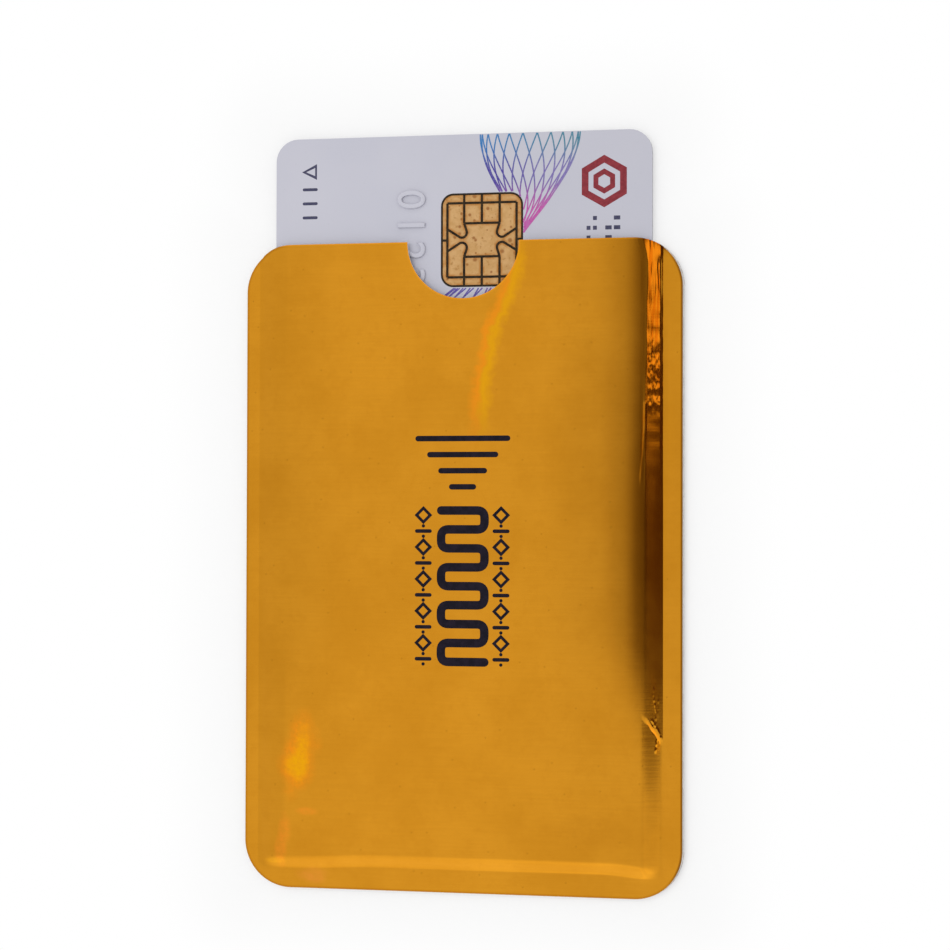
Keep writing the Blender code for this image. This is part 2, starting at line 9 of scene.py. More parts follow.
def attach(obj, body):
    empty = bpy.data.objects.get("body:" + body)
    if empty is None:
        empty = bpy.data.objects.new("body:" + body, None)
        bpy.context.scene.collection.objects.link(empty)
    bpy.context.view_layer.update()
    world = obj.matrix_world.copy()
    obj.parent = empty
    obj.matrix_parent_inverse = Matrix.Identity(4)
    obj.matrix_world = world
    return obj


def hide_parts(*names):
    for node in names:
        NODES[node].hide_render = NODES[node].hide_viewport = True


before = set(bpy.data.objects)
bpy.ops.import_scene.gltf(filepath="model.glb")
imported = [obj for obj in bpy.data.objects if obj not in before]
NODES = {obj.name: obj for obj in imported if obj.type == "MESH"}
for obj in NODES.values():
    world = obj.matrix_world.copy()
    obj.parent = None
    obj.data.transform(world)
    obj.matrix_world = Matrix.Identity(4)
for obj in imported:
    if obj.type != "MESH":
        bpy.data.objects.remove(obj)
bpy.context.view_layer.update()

MM = 0.001

# Sizes that the sleeve's model was built with. Lengths are in millimetres, apart from those in node
# trees and of the floor and the lamp, which are in metres.
POCKET_LEFT, POCKET_RIGHT, POCKET_FOOT = -28.74, 28.48, -42.75
SLEEVE_LEFT, SLEEVE_RIGHT, FOOT_Y, MOUTH_Y = -31.25, 31.25, -45.5, 45.5
BACK_OVERHANG = 0.15
SLEEVE_RADIUS = 6.7
LEFT_SHOULDER, RIGHT_SHOULDER = 2.64, 2.95
BACK_LEFT, BACK_RIGHT, BACK_FOOT = 0.98 * 1.75, 0.98 * 1.49, 0.98 * 2.35
FRONT_STEEPNESS, WORN_STEEPNESS, BACK_STEEPNESS = 1.3, 2.0, 1.6
FRONT_SEAM_Z, FRONT_PLATEAU_Z, FRONT_CROWN = 0.81, 1.70, 0.06
SEAM_LIFT = 0.42
FILM, FOIL, PAPER, BOND = 0.05, 0.05, 0.20, 0.01
LAMINATE = FILM + FOIL + PAPER + 2 * BOND
NOTCH_X, NOTCH_RADIUS = 0.5, 8.0
CARD_FRONT, CARD_Y = 1.16, 17.8
CARD_HALF_WIDTH, CARD_HALF_LENGTH = 26.99, 42.80


# Small maths

def clamp(value):
    """The value, kept between 0 and 1."""
    return min(max(value, 0.0), 1.0)


def smooth(low, high, value):
    """0 below low, 1 above high, and a smooth step between."""
    share = clamp((value - low) / (high - low))
    return share * share * (3 - 2 * share)


def uneven(x, y, seed):
    """Smooth noise about 0 at a place. Each seed gives its own."""
    return noise.noise(Vector((x, y, seed)))


def shoulder(distance, width, steepness):
    """The share of its full rise that a sheet reaches at a distance from its seam."""
    return 1.0 - (1.0 - clamp(distance / width)) ** steepness


def back_height(x, y):
    """The outer face of the back sheet."""
    fullness = shoulder(x - POCKET_LEFT, BACK_LEFT, BACK_STEEPNESS)
    fullness *= shoulder(POCKET_RIGHT - x, BACK_RIGHT, BACK_STEEPNESS)
    fullness *= shoulder(y - POCKET_FOOT, BACK_FOOT, BACK_STEEPNESS)
    return SEAM_LIFT * (1 - fullness)


# Form of the worn front sheet: the card under it lifts it into a slight pillow

WIDE_FALL, MIDDLE_FALL, NEAR_FALL = (math.tan(math.radians(fall)) for fall in (0.8, 0.3, 2.4))
NEAR_START, NEAR_REACH, LEFT_FALL_X = 21.6, 4.3, -12.0
WIDE_LOSS, NEAR_LOSS = 0.25, 0.35


def steepened(x, low, high):
    """The drop of a surface that is level up to low and falls at 1 in 1 from high on."""
    share = clamp((x - low) / (high - low))
    return (high - low) * (share ** 3 - share ** 4 / 2) + max(x - high, 0.0)


def fallen(x):
    """How far the pillow has fallen towards the right ridge at x."""
    return WIDE_FALL * steepened(x, 11.0, 17.0) + MIDDLE_FALL * steepened(x, 19.5, 21.5)


def fallen_near(x):
    """The steeper fall beside the ridge."""
    share = max((x - NEAR_START) / NEAR_REACH, 0.0)
    return NEAR_FALL * NEAR_REACH * (min(share, 1.0) ** 4 / 4 + max(share - 1, 0.0))


RAMP_START = POCKET_RIGHT - RIGHT_SHOULDER
PILLOW, NEAR_PILLOW = fallen(RAMP_START), fallen_near(RAMP_START)


def pillow(x, y):
    """The sheet's slight pillow over the card, level with its clean form at the seams."""
    wide = smooth(-25.0, -8.0, y) * (1 - WIDE_LOSS * smooth(22.0, 36.0, y))
    near = smooth(-32.0, -21.0, y) * (1 - NEAR_LOSS * smooth(9.0, 26.0, y))
    leftness = clamp((LEFT_FALL_X - x) / (LEFT_FALL_X - POCKET_LEFT - LEFT_SHOULDER))
    rise = wide * (PILLOW - fallen(x)) + near * (NEAR_PILLOW - fallen_near(x))
    return rise - min(wide, near) * ((PILLOW + NEAR_PILLOW) * leftness ** 3)


# Below a slanting kink the ridge is rounder. The fold over the card's foot dips at the corners.
KINK_X, KINK_Y, KINK_SLANT, KINK_WANDER = 25.9, -20.4, 1.35, 0.5
FOLD_Y, FOLD_REACH, FOLD_LEFT_DIP, FOLD_RIGHT_DIP = -41.35, 1.05, 0.45, 0.6
SEAM_CURL, CURL_REACH = 0.012, 0.6


def worn_height(x, y):
    """The inner face of the worn front sheet."""
    left = shoulder(x - POCKET_LEFT, LEFT_SHOULDER, FRONT_STEEPNESS)
    steep = shoulder(POCKET_RIGHT - x, RIGHT_SHOULDER, WORN_STEEPNESS)
    round_ramp = smooth(0.0, RIGHT_SHOULDER, POCKET_RIGHT - x)
    kink = KINK_Y - KINK_SLANT * (x - KINK_X) + KINK_WANDER * uneven(x * 1.3, 0.0, 4.0)
    right = steep + (round_ramp - steep) * (1 - smooth(kink - 0.5, kink + 0.2, y))
    fold = FOLD_Y - FOLD_LEFT_DIP * (1 - smooth(-24.0, -12.0, x))
    fold -= FOLD_RIGHT_DIP * smooth(20.0, 28.5, x)
    foot = smooth(fold - FOLD_REACH, fold + FOLD_REACH, y)
    across = (x - POCKET_LEFT) / (POCKET_RIGHT - POCKET_LEFT)
    crown = FRONT_CROWN * max(4 * across * (1 - across), 0.0)
    rise = FRONT_PLATEAU_Z - FRONT_SEAM_Z + crown + pillow(x, y)
    curl = SEAM_CURL * steepened(x, POCKET_RIGHT, POCKET_RIGHT + CURL_REACH)
    return FRONT_SEAM_Z + rise * left * right * foot + curl


# Creases of the ridge. The forms give its drop below the plateau by x: in the bright streaks
# of its upper stretch, and with a ledge below them.

RIDGE_START, RIDGE_END = 25.45, 28.36
STREAK_FORM = ((RIDGE_START, 0.0), (25.85, 0.018), (26.12, 0.040), (26.34, 0.068), (26.50, 0.112),
               (28.05, 0.575), (RIDGE_END, 0.90))
LEDGE_FORM = ((RIDGE_START, 0.0), (25.80, 0.030), (26.15, 0.033), (26.32, 0.112), (28.05, 0.602),
              (RIDGE_END, 0.90))
# Its edges lean in below the mouth and flare at it
START_LEAN, START_FLARE, END_LEAN, END_FLARE = 0.30, 1.15, 0.06, 0.26
STRIAE_HEIGHT, CRUMPLE_HEIGHT = 0.014, 0.0155
RELIEF_LEFT, RELIEF_RIGHT, RELIEF_FOOT, RAMP_RIGHT = 25.1, 28.9, -33.0, 28.75
# Sharp creases: height, unevenness, reach to each side and path. The last is the thin bright
# line below the crumpled stretch, the others lie near the foot.
CRINKLES = (
    (0.028, 0.8, 0.16, ((26.5, -20.9), (26.9, -21.6), (27.5, -22.6), (28.1, -23.3))),
    (0.034, 0.8, 0.16, ((27.0, -20.9), (27.4, -21.6), (27.9, -22.6), (28.1, -23.8))),
    (0.030, 0.8, 0.16, ((27.9, -23.0), (27.6, -23.8), (27.45, -25.2))),
    (0.016, 0.8, 0.12, ((27.25, -16.6), (27.3, -18.2), (27.6, -20.0), (27.48, -21.6))),
    (0.010, 0.8, 0.12, ((27.85, -18.0), (27.8, -20.5))),
    (0.030, 0.25, 0.27, ((26.14, 22.6), (26.07, 19.8), (25.98, 18.0), (25.87, 15.3),
                         (25.62, 12.2))))


def dropped(form, x):
    """The drop that a form of the ridge gives at x."""
    if x <= form[0][0]:
        return 0.0
    for (x0, z0), (x1, z1) in zip(form, form[1:]):
        if x < x1:
            return z0 + (z1 - z0) * (x - x0) / (x1 - x0)
    return form[-1][1]


def crinkle_height(x, y):
    """What the short sharp creases of the ridge add."""
    height = 0.0
    for rise, wear, reach, path in CRINKLES:
        for (x0, y0), (x1, y1) in zip(path, path[1:]):
            length = (x1 - x0) ** 2 + (y1 - y0) ** 2
            share = clamp(((x - x0) * (x1 - x0) + (y - y0) * (y1 - y0)) / length)
            far = math.hypot(x - x0 - share * (x1 - x0), y - y0 - share * (y1 - y0))
            if far < reach:
                broken = 0.6 + wear * uneven(x * 2.5, y * 2.5, 11.0)
                height = max(height, rise * broken * (1 - far / reach))
    return height


def wander(y, reach, waves, seed):
    """How far an edge of the ridge wanders sideways at y."""
    return reach * uneven(0.0, y * waves, seed)


def ridge_relief(x, y):
    """What the creases of the ridge add to the worn sheet."""
    if x > RELIEF_RIGHT or y < RELIEF_FOOT:
        return 0.0
    height = crinkle_height(x, y) if x > RELIEF_LEFT else 0.0
    start = RIDGE_START + START_LEAN * smooth(33.7, 41.0, y) - START_FLARE * clamp((y - 41.9) / 3.3)
    start += wander(y, 0.12, 0.45, 21.0)
    if x < start:
        return height
    upper = smooth(7.0, 22.0, y)
    if upper > 0:
        end = RIDGE_END - END_LEAN * smooth(36.0, 41.0, y) + END_FLARE * smooth(41.4, 44.8, y)
        end += wander(y, 0.10, 0.60, 22.0)
        place = RIDGE_START + (x - start) * (RIDGE_END - RIDGE_START) / (end - start)
        ledge = 1 - smooth(20.0, 30.0, y)
        drop = (1 - ledge) * dropped(STREAK_FORM, place) + ledge * dropped(LEDGE_FORM, place)
        facet = max(worn_height(start, y) - drop, FRONT_SEAM_Z)
        height += upper * (facet - worn_height(x, y)) * smooth(0, 0.15, RAMP_RIGHT - x)
    inside = smooth(26.3, 26.6, x) * (1 - smooth(27.9, 28.2, x))
    if inside > 0:
        waved = x + wander(y, 0.16, 0.30, 1.0)
        striae = uneven(waved * 4.0, y * 0.17, 3.0) + 0.6 * uneven(waved * 8.0, y * 0.45, 5.0)
        height += smooth(21.0, 26.0, y) * inside * STRIAE_HEIGHT * striae
        crumpled = smooth(20.5, 23.0, y) * (1 - smooth(28.5, 33.5, y))
        if crumpled > 0:
            rough = uneven(waved * 3.4, y * 1.2, 7.0) + 0.5 * uneven(x * 6, y * 3.2, 9.0)
            height += CRUMPLE_HEIGHT * crumpled * inside * rough
    return height


# Meshes

GRID_MARGIN, FLAT_THICKNESS, STEP = 1.0, 1.0, 0.02
TRIM_LOW, TRIM_HIGH = -2.0, 6.0


def smooth_faces(mesh, angle=40.0):
    """Shade a mesh smooth, apart from its sharp edges."""
    mesh.shade_smooth()
    mesh.set_sharp_from_angle(angle=math.radians(angle))


def new_object(name, data):
    """An object for a mesh, curve, lamp or camera, in the scene."""
    made = bpy.data.objects.new(name, data)
    bpy.context.scene.collection.objects.link(made)
    return made


def mesh_from(shape, name):
    """A new mesh of a bmesh, which is freed."""
    mesh = bpy.data.meshes.new(name)
    shape.to_mesh(mesh)
    shape.free()
    return mesh


def finished_mesh(work):
    """The mesh of a work object with its modifiers applied. The object itself goes."""
    bpy.context.view_layer.update()
    depsgraph = bpy.context.evaluated_depsgraph_get()
    mesh = bpy.data.meshes.new_from_object(work.evaluated_get(depsgraph))
    bpy.data.objects.remove(work)
    return mesh


def flat_work(mesh, thickness):
    """A work object for a flat mesh, with a thickness upwards."""
    work = new_object(mesh.name + "_work", mesh)
    solid = work.modifiers.new("thickness", "SOLIDIFY")
    solid.thickness = thickness * MM
    solid.offset = 1.0
    return work


def outward(height, x, y):
    """The point of a sheet at x, y, and the direction square to the sheet there."""
    slope_x = (height(x + STEP, y) - height(x - STEP, y)) / (2 * STEP)
    slope_y = (height(x, y + STEP) - height(x, y - STEP)) / (2 * STEP)
    return Vector((x, y, height(x, y))), Vector((-slope_x, -slope_y, 1.0)).normalized()


def flat_grid(name, xs, ys):
    """A flat grid of quads."""
    shape = bmesh.new()
    rows = [[shape.verts.new((x * MM, y * MM, 0.0)) for x in xs] for y in ys]
    for low, high in zip(rows, rows[1:]):
        for index in range(len(xs) - 1):
            shape.faces.new((low[index], low[index + 1], high[index + 1], high[index]))
    return mesh_from(shape, name)


def rounded_outline(left, right, foot, top, radius, steps):
    """The points of a rounded rectangle, anticlockwise."""
    centres = ((right - radius, top - radius), (left + radius, top - radius),
               (left + radius, foot + radius), (right - radius, foot + radius))
    points = []
    for quarter, (x, y) in enumerate(centres):
        for step in range(steps + 1):
            angle = (quarter + step / steps) * math.pi / 2
            points.append((x + radius * math.cos(angle), y + radius * math.sin(angle)))
    return points


def ring_points(x, y, radius, sides, turn=0.0):
    """The corners of a regular polygon, turned by a share of a side."""
    angles = [math.tau * (index + turn) / sides for index in range(sides)]
    return [(x + radius * math.cos(angle), y + radius * math.sin(angle)) for angle in angles]


def prism(name, outline):
    """An upright prism over an outline, to trim flat sheets with."""
    shape = bmesh.new()
    foot, top = ([shape.verts.new((x * MM, y * MM, z * MM)) for x, y in outline]
                 for z in (TRIM_LOW, TRIM_HIGH))
    shape.faces.new(list(reversed(foot)))
    shape.faces.new(top)
    for index in range(len(outline)):
        following = (index + 1) % len(outline)
        shape.faces.new((foot[index], foot[following], top[following], top[index]))
    return new_object(name, mesh_from(shape, name))


def trimmed_sheet(name, lines, form, low, high, cutters):
    """A sheet trimmed while it is flat, then bent to form(x, y) from offset low to offset high."""
    work = flat_work(flat_grid(name, *lines), FLAT_THICKNESS)
    for cutter, operation in cutters:
        trim = work.modifiers.new("trim", "BOOLEAN")
        trim.solver = "EXACT"
        trim.operation = operation
        trim.object = cutter
    mesh = finished_mesh(work)
    mesh.name = name
    known = {}
    for vertex in mesh.vertices:
        x, y = vertex.co.x / MM, vertex.co.y / MM
        spot = (round(x, 4), round(y, 4))
        if spot not in known:
            known[spot] = form(x, y)
        point, square = known[spot]
        upper = vertex.co.z > FLAT_THICKNESS * MM / 2
        vertex.co = (point + square * (high if upper else low)) * MM
    mesh.update()
    smooth_faces(mesh)
    return new_object(name, mesh)


# Node helpers

class Tree:
    """Short calls for making a node tree."""

    def __init__(self, tree):
        self.tree = tree
        self.coordinates = self.add("TexCoord").outputs

    def put(self, socket, value):
        """Link an output to a socket, or set the socket's own value."""
        if isinstance(value, bpy.types.NodeSocket):
            self.tree.links.new(value, socket)
        elif isinstance(value, tuple) and len(value) == 3 and len(socket.default_value) == 4:
            socket.default_value = (*value, 1.0)
        else:
            socket.default_value = value

    def feed(self, sockets, **values):
        """Give sockets their values by name, with _ for a space."""
        for key, value in values.items():
            self.put(sockets[key.replace("_", " ")], value)

    def add(self, kind, settings=None, **inputs):
        node = self.tree.nodes.new("ShaderNode" + kind)
        for key, value in (settings or {}).items():
            setattr(node, key, value)
        self.feed(node.inputs, **inputs)
        return node

    def fed(self, kind, settings, values):
        """A node of a kind, with values for its first inputs."""
        node = self.add(kind, settings)
        for index, value in enumerate(values):
            self.put(node.inputs[index], value)
        return node

    def math(self, operation, *values):
        return self.fed("Math", {"operation": operation}, values).outputs[0]

    def product(self, value, *factors):
        """A value times each factor in turn."""
        for factor in factors:
            value = self.math("MULTIPLY", value, factor)
        return value

    def scaled(self, vector, scale, place=(0, 0, 0)):
        return self.add("Mapping", Vector=vector, Scale=scale, Location=place).outputs[0]

    def noise(self, vector, scale, detail=2.0, roughness=0.5):
        return self.add("TexNoise", Vector=vector, Scale=scale, Detail=detail,
                        Roughness=roughness).outputs[0]

    def cells(self, vector, scale):
        return self.add("TexVoronoi", {"voronoi_dimensions": "2D"}, Vector=vector,
                        Scale=scale).outputs["Distance"]

    def span(self, value, low, high, to_low=0.0, to_high=1.0, kind="SMOOTHSTEP"):
        return self.fed("MapRange", {"interpolation_type": kind},
                        (value, low, high, to_low, to_high)).outputs[0]

    def mix(self, share, first, second):
        node = self.tree.nodes.new("ShaderNodeMix")
        node.data_type = "RGBA"
        for index, value in ((0, share), (6, first), (7, second)):
            self.put(node.inputs[index], value)
        return node.outputs[2]

    def axes(self, vector):
        return self.add("SeparateXYZ", Vector=vector).outputs

    def millimetres(self, vector):
        return [self.product(axis, 1 / MM) for axis in self.axes(vector)[:2]]

    def vector(self, operation, *values):
        node = self.fed("VectorMath", {"operation": operation}, values)
        return node.outputs["Value" if operation == "LENGTH" else "Vector"]

    def flattened(self, place, middle, reach, turn=0.0):
        """A place seen from a middle, in reaches, with its height as good as gone."""
        node = self.add("Mapping", {"vector_type": "TEXTURE"}, Vector=place,
                        Rotation=(0.0, 0.0, turn), Scale=(*reach, 1000.0),
                        Location=(middle[0] * MM, middle[1] * MM, 0.0))
        return node.outputs[0]

    def away(self, place, middle, reach=(1.0, 1.0), turn=0.0):
        """The distance from a middle, in reaches, where all are in millimetres."""
        reach = (reach[0] * MM, reach[1] * MM)
        return self.vector("LENGTH", self.flattened(place, middle, reach, turn))

    def beyond(self, place, middle, half):
        """The distance in metres outside a box, given in millimetres."""
        local = self.vector("ABSOLUTE", self.flattened(place, middle, (1.0, 1.0)))
        local = self.vector("SUBTRACT", local, (half[0] * MM, half[1] * MM, 1.0))
        return self.vector("LENGTH", self.vector("MAXIMUM", local, (0.0, 0.0, 0.0)))

    def bump(self, height, distance, **normal):
        return self.add("Bump", Height=height, Distance=distance, Strength=1.0, **normal).outputs[0]


def material(name, roughness=0.5, metallic=0.0, specular=0.5):
    """A new material: it, its tree helper, its shader's inputs and the place on the object."""
    made = bpy.data.materials.new(name)
    made.use_nodes = True
    tree, inputs = Tree(made.node_tree), made.node_tree.nodes["Principled BSDF"].inputs
    tree.feed(inputs, Roughness=roughness, Metallic=metallic, Specular_IOR_Level=specular)
    return made, tree, inputs, tree.coordinates["Object"]


def dress(piece, look):
    """Give a piece its material."""
    piece.data.materials.clear()
    piece.data.materials.append(look)


# Materials

# The long painted glint under the notch, the holographic film's reflection painted into its colour:
# y, and its middle's x there
STREAK = ((17.0, 2.8), (21.9, 2.95), (24.8, 3.2), (28.9, 3.8), (33.1, 4.6), (35.9, 5.9),
          (38.7, 7.15), (41.5, 7.85), (46.0, 8.3))
STREAK_UNIT = 12  # as a curve holds values up to 1

YELLOW, ORANGE = (0.80, 0.360, 0.005), (0.83, 0.265, 0.020)
# Painted glints and painted shade on the gold: middle, reaches, turn, tint and strength
PAINTED_GLINTS_AND_SHADE = (
    # Painted shade: a dark patch over a shallow dent near the foot, then a dark line beside the
    # ridge. The rest are painted glints of the holographic film, in orange and yellow.
    ((19.5, -36.4), (7.0, 2.9), 0.0, (0.50, 0.195, 0.010), 0.30),
    ((25.8, 17.3), (0.30, 6.5), -0.05, (0.52, 0.140, 0.003), 0.90),
    ((-23.1, -26.6), (2.7, 5.4), -0.20, (0.86, 0.262, 0.010), 0.88),
    ((-22.7, -26.4), (1.4, 3.9), -0.13, YELLOW, 0.88),
    ((-23.4, -28.0), (1.8, 1.9), 0.0, YELLOW, 0.88),
    ((-25.2, -37.2), (1.0, 2.2), 0.0, ORANGE, 0.60),
    ((-25.8, -40.0), (0.9, 2.6), 0.0, ORANGE, 0.60),
    ((-22.0, -34.6), (1.6, 0.55), 0.0, ORANGE, 0.55),
    ((-26.6, -41.7), (1.7, 0.5), 0.0, (0.74, 0.330, 0.012), 0.50),
    ((-21.3, -43.8), (2.2, 1.2), 0.0, (0.78, 0.262, 0.040), 0.45),
    ((27.2, -22.2), (0.27, 1.6), 0.62, (1.00, 0.310, 0.010), 0.80),
    ((27.9, -24.4), (0.34, 1.3), -0.10, (0.95, 0.330, 0.010), 0.70),
    ((27.4, -17.5), (0.45, 3.6), 0.05, (0.80, 0.300, 0.012), 0.45))


def plain_gold(tree, place, grain):
    """The film's own colour: soft mottling, a fine grain across it and specks."""
    mottle = tree.noise(place, 90.0, 4.0, 0.6)
    colour = tree.mix(tree.span(mottle, 0.32, 0.68), (0.585, 0.240, 0.0130), (0.640, 0.270, 0.0165))
    colour = tree.mix(tree.span(grain, 0.3, 0.7, 0.0, 0.10), colour, (0.47, 0.185, 0.008))
    fine_mottle = tree.noise(place, 620.0, 3.0, 0.7)
    colour = tree.mix(tree.span(fine_mottle, 0.45, 0.75, 0.0, 0.22), colour, (0.53, 0.205, 0.009))
    specks = tree.span(tree.cells(place, 170.0), 0.008, 0.030, 0.40, 0.0)
    colour = tree.mix(specks, colour, (0.36, 0.14, 0.006))
    shifted = tree.scaled(place, (1, 1, 1), (0.031, 0.017, 0))
    specks = tree.span(tree.cells(shifted, 260.0), 0.005, 0.020, 0.20, 0.0)
    return tree.mix(specks, colour, (0.80, 0.42, 0.08))


def with_painted_glint_streak(tree, colour, place, x, y):
    """The colour with the long painted glint streak on it: orange on its left, yellow on its right.
    """
    node = tree.add("FloatCurve")
    curve = node.mapping.curves[0]
    low, high = STREAK[0][0], STREAK[-1][0]
    curve.points[0].location = (0.0, STREAK[0][1] / STREAK_UNIT)
    curve.points[1].location = (1.0, STREAK[-1][1] / STREAK_UNIT)
    for along, across in STREAK[1:-1]:
        curve.points.new((along - low) / (high - low), across / STREAK_UNIT)
    node.mapping.update()
    tree.put(node.inputs["Value"], tree.span(y, low, high, kind="LINEAR"))
    offset = tree.math("SUBTRACT", x, tree.product(node.outputs[0], STREAK_UNIT))
    frayed = tree.span(tree.noise(place, 700.0, 3.0), 0.3, 0.7, -0.35, 0.35)
    blur = tree.math("ADD", offset, frayed)
    faded = tree.span(y, 15.5, 25.0)
    # Painted glint: orange along the streak's left side, yellow along its right
    orange = tree.product(tree.span(blur, -1.9, -0.4), tree.span(blur, 0.5, -0.5), faded, 0.85)
    colour = tree.mix(orange, colour, (0.80, 0.262, 0.0110))
    yellow = tree.product(tree.span(blur, -0.6, 0.5), tree.span(blur, 2.0, 0.4),
                          tree.span(y, 45.5, 41.0, 0.35, 1.0), faded, 0.85)
    return tree.mix(yellow, colour, (0.73, 0.335, 0.0060))


def with_painted_glints_and_shade(tree, colour, place):
    """The colour with small painted glints and patches of painted shade on it, each frayed at its
    edge.
    """
    frayed = tree.span(tree.noise(place, 320.0, 4.0), 0.3, 0.7, -0.16, 0.16)
    grainy = tree.span(tree.noise(place, 1300.0, 3.0, 0.7), 0.36, 0.62, 0.55, 1.0)
    for middle, reach, turn, tint, share in PAINTED_GLINTS_AND_SHADE:
        blur = tree.math("ADD", tree.away(place, middle, reach, turn), frayed)
        strength = tree.product(tree.span(blur, 0.35, 1.25, share, 0.0), grainy)
        colour = tree.mix(strength, colour, tint)
    return colour


def with_dark_ridge_paint(tree, colour, place, x, y):
    """The colour with a painted dark reflection in a band beside the ridge, and painted shade in
    dark striae on it.
    """
    # Painted dark reflection: the band darkens towards the ridge, most in its middle stretch
    painted_band_shade = tree.math("ADD", tree.span(x, 20.5, 23.5, 0.0, 0.19),
                       tree.span(x, 23.0, 25.7, 0.0, 0.50))
    painted_band_shade = tree.product(painted_band_shade, tree.span(x, 26.6, 25.9), tree.span(y, -24.0, -9.0),
                          tree.span(y, 9.0, 26.0, 1.0, 0.65))
    colour = tree.mix(painted_band_shade, colour, (0.20, 0.058, 0.002))
    # Painted shade: dark striae along the ridge's upper stretch
    striae = tree.noise(tree.scaled(place, (3600.0, 130.0, 100.0)), 1.0, 3.0, 0.65)
    ridge = tree.product(tree.span(x, 26.2, 26.6), tree.span(x, 28.25, 27.95),
                         tree.span(y, 20.0, 27.0))
    painted_striae_shade = tree.product(ridge, tree.span(striae, 0.42, 0.60, 0.0, 0.85))
    return tree.mix(painted_striae_shade, colour, (0.50, 0.150, 0.0045))


def with_painted_edge_light(tree, colour, place, x, y):
    """The colour with painted shade along the cut edges, more of it on the right, and painted
    highlights at the mouth and the notch.
    """
    inner = (SLEEVE_RIGHT - SLEEVE_RADIUS, MOUTH_Y - SLEEVE_RADIUS)
    reach = tree.product(tree.beyond(place, (0.0, 0.0), inner), 1 / MM)
    # Painted shade along all cut edges, then darker still along the right side
    edge = tree.span(reach, SLEEVE_RADIUS - 0.42, SLEEVE_RADIUS - 0.08)
    colour = tree.mix(tree.product(edge, 0.55), colour, (0.40, 0.150, 0.006))
    edge = tree.product(tree.span(reach, SLEEVE_RADIUS - 0.38, SLEEVE_RADIUS - 0.12),
                        tree.span(x, 29.0, 30.9), 0.85)
    colour = tree.mix(edge, colour, (0.22, 0.080, 0.006))
    # Painted highlights along the mouth and round the notch
    mouth = tree.product(tree.span(y, MOUTH_Y - 0.34, MOUTH_Y - 0.10), 0.6)
    colour = tree.mix(mouth, colour, (0.86, 0.355, 0.020))
    rim = tree.span(tree.away(place, (NOTCH_X, MOUTH_Y)),
                    NOTCH_RADIUS + 0.30, NOTCH_RADIUS + 0.08, 0.0, 0.5)
    return tree.mix(rim, colour, (0.84, 0.330, 0.020))


def gold_film():
    """Metallised gold film with its grain, and with painted glints, painted shade and painted
    highlights.
    """
    made, tree, inputs, place = material("gold_film", roughness=0.15, metallic=1.0)
    x, y = tree.millimetres(place)
    grain = tree.noise(tree.scaled(place, (140.0, 3600.0, 100.0)), 1.0, 3.0, 0.6)
    colour = plain_gold(tree, place, grain)
    colour = with_painted_glint_streak(tree, colour, place, x, y)
    colour = with_painted_glints_and_shade(tree, colour, place)
    colour = with_dark_ridge_paint(tree, colour, place, x, y)
    rough = tree.span(tree.noise(place, 260.0, 4.0, 0.65), 0.3, 0.7, 0.10, 0.135, kind="LINEAR")
    fine = tree.bump(grain, 1.6e-6)
    tree.feed(inputs, Base_Color=with_painted_edge_light(tree, colour, place, x, y), Roughness=rough,
              Normal=tree.bump(tree.noise(place, 120.0, 2.0), 0.8e-5, Normal=fine))
    return made


ROUGHNESS_SPREAD = 0.08


def plain_look(name, first, second, scale, roughness, metallic=0.0, specular=0.5, bump=0.0,
               stretch=(1.0, 1.0, 1.0)):
    """A material of two mixed colours, with uneven roughness."""
    made, tree, inputs, place = material(name, roughness, metallic, specular)
    place = tree.scaled(place, stretch)
    grain = tree.noise(place, scale, 4.0, 0.6)
    rough = tree.span(grain, 0.3, 0.7, roughness - ROUGHNESS_SPREAD, roughness + ROUGHNESS_SPREAD,
                      kind="LINEAR")
    tree.feed(inputs, Base_Color=tree.mix(tree.span(grain, 0.35, 0.65), first, second),
              Roughness=rough)
    if bump:
        tree.feed(inputs, Normal=tree.bump(tree.noise(place, 3 * scale, 3.0), bump))
    return made


def card_face_look():
    """Satin laminate: lavender grey with faint clouds, specks and a very fine grain, and painted
    shade that darkens it towards its right.
    """
    made, tree, inputs, place = material("card_face", roughness=0.32)
    cloud = tree.noise(place, 70.0, 3.0, 0.5)
    colour = tree.mix(tree.span(cloud, 0.3, 0.7), (0.538, 0.538, 0.618), (0.566, 0.562, 0.636))
    # Painted shade: darker towards the card's right
    across = tree.product(tree.axes(place)[0], 1 / MM)
    colour = tree.mix(tree.span(across, -8.0, 24.0, 0.0, 0.30), colour, (0.48, 0.48, 0.55))
    speck = tree.span(tree.cells(place, 300.0), 0.01, 0.04, 0.20, 0.0)
    colour = tree.mix(speck, colour, (0.42, 0.42, 0.47))
    tree.feed(inputs, Base_Color=colour, Normal=tree.bump(tree.noise(place, 5200.0, 2.0), 1.5e-6),
              Coat_Weight=0.25, Coat_Roughness=0.15)
    return made


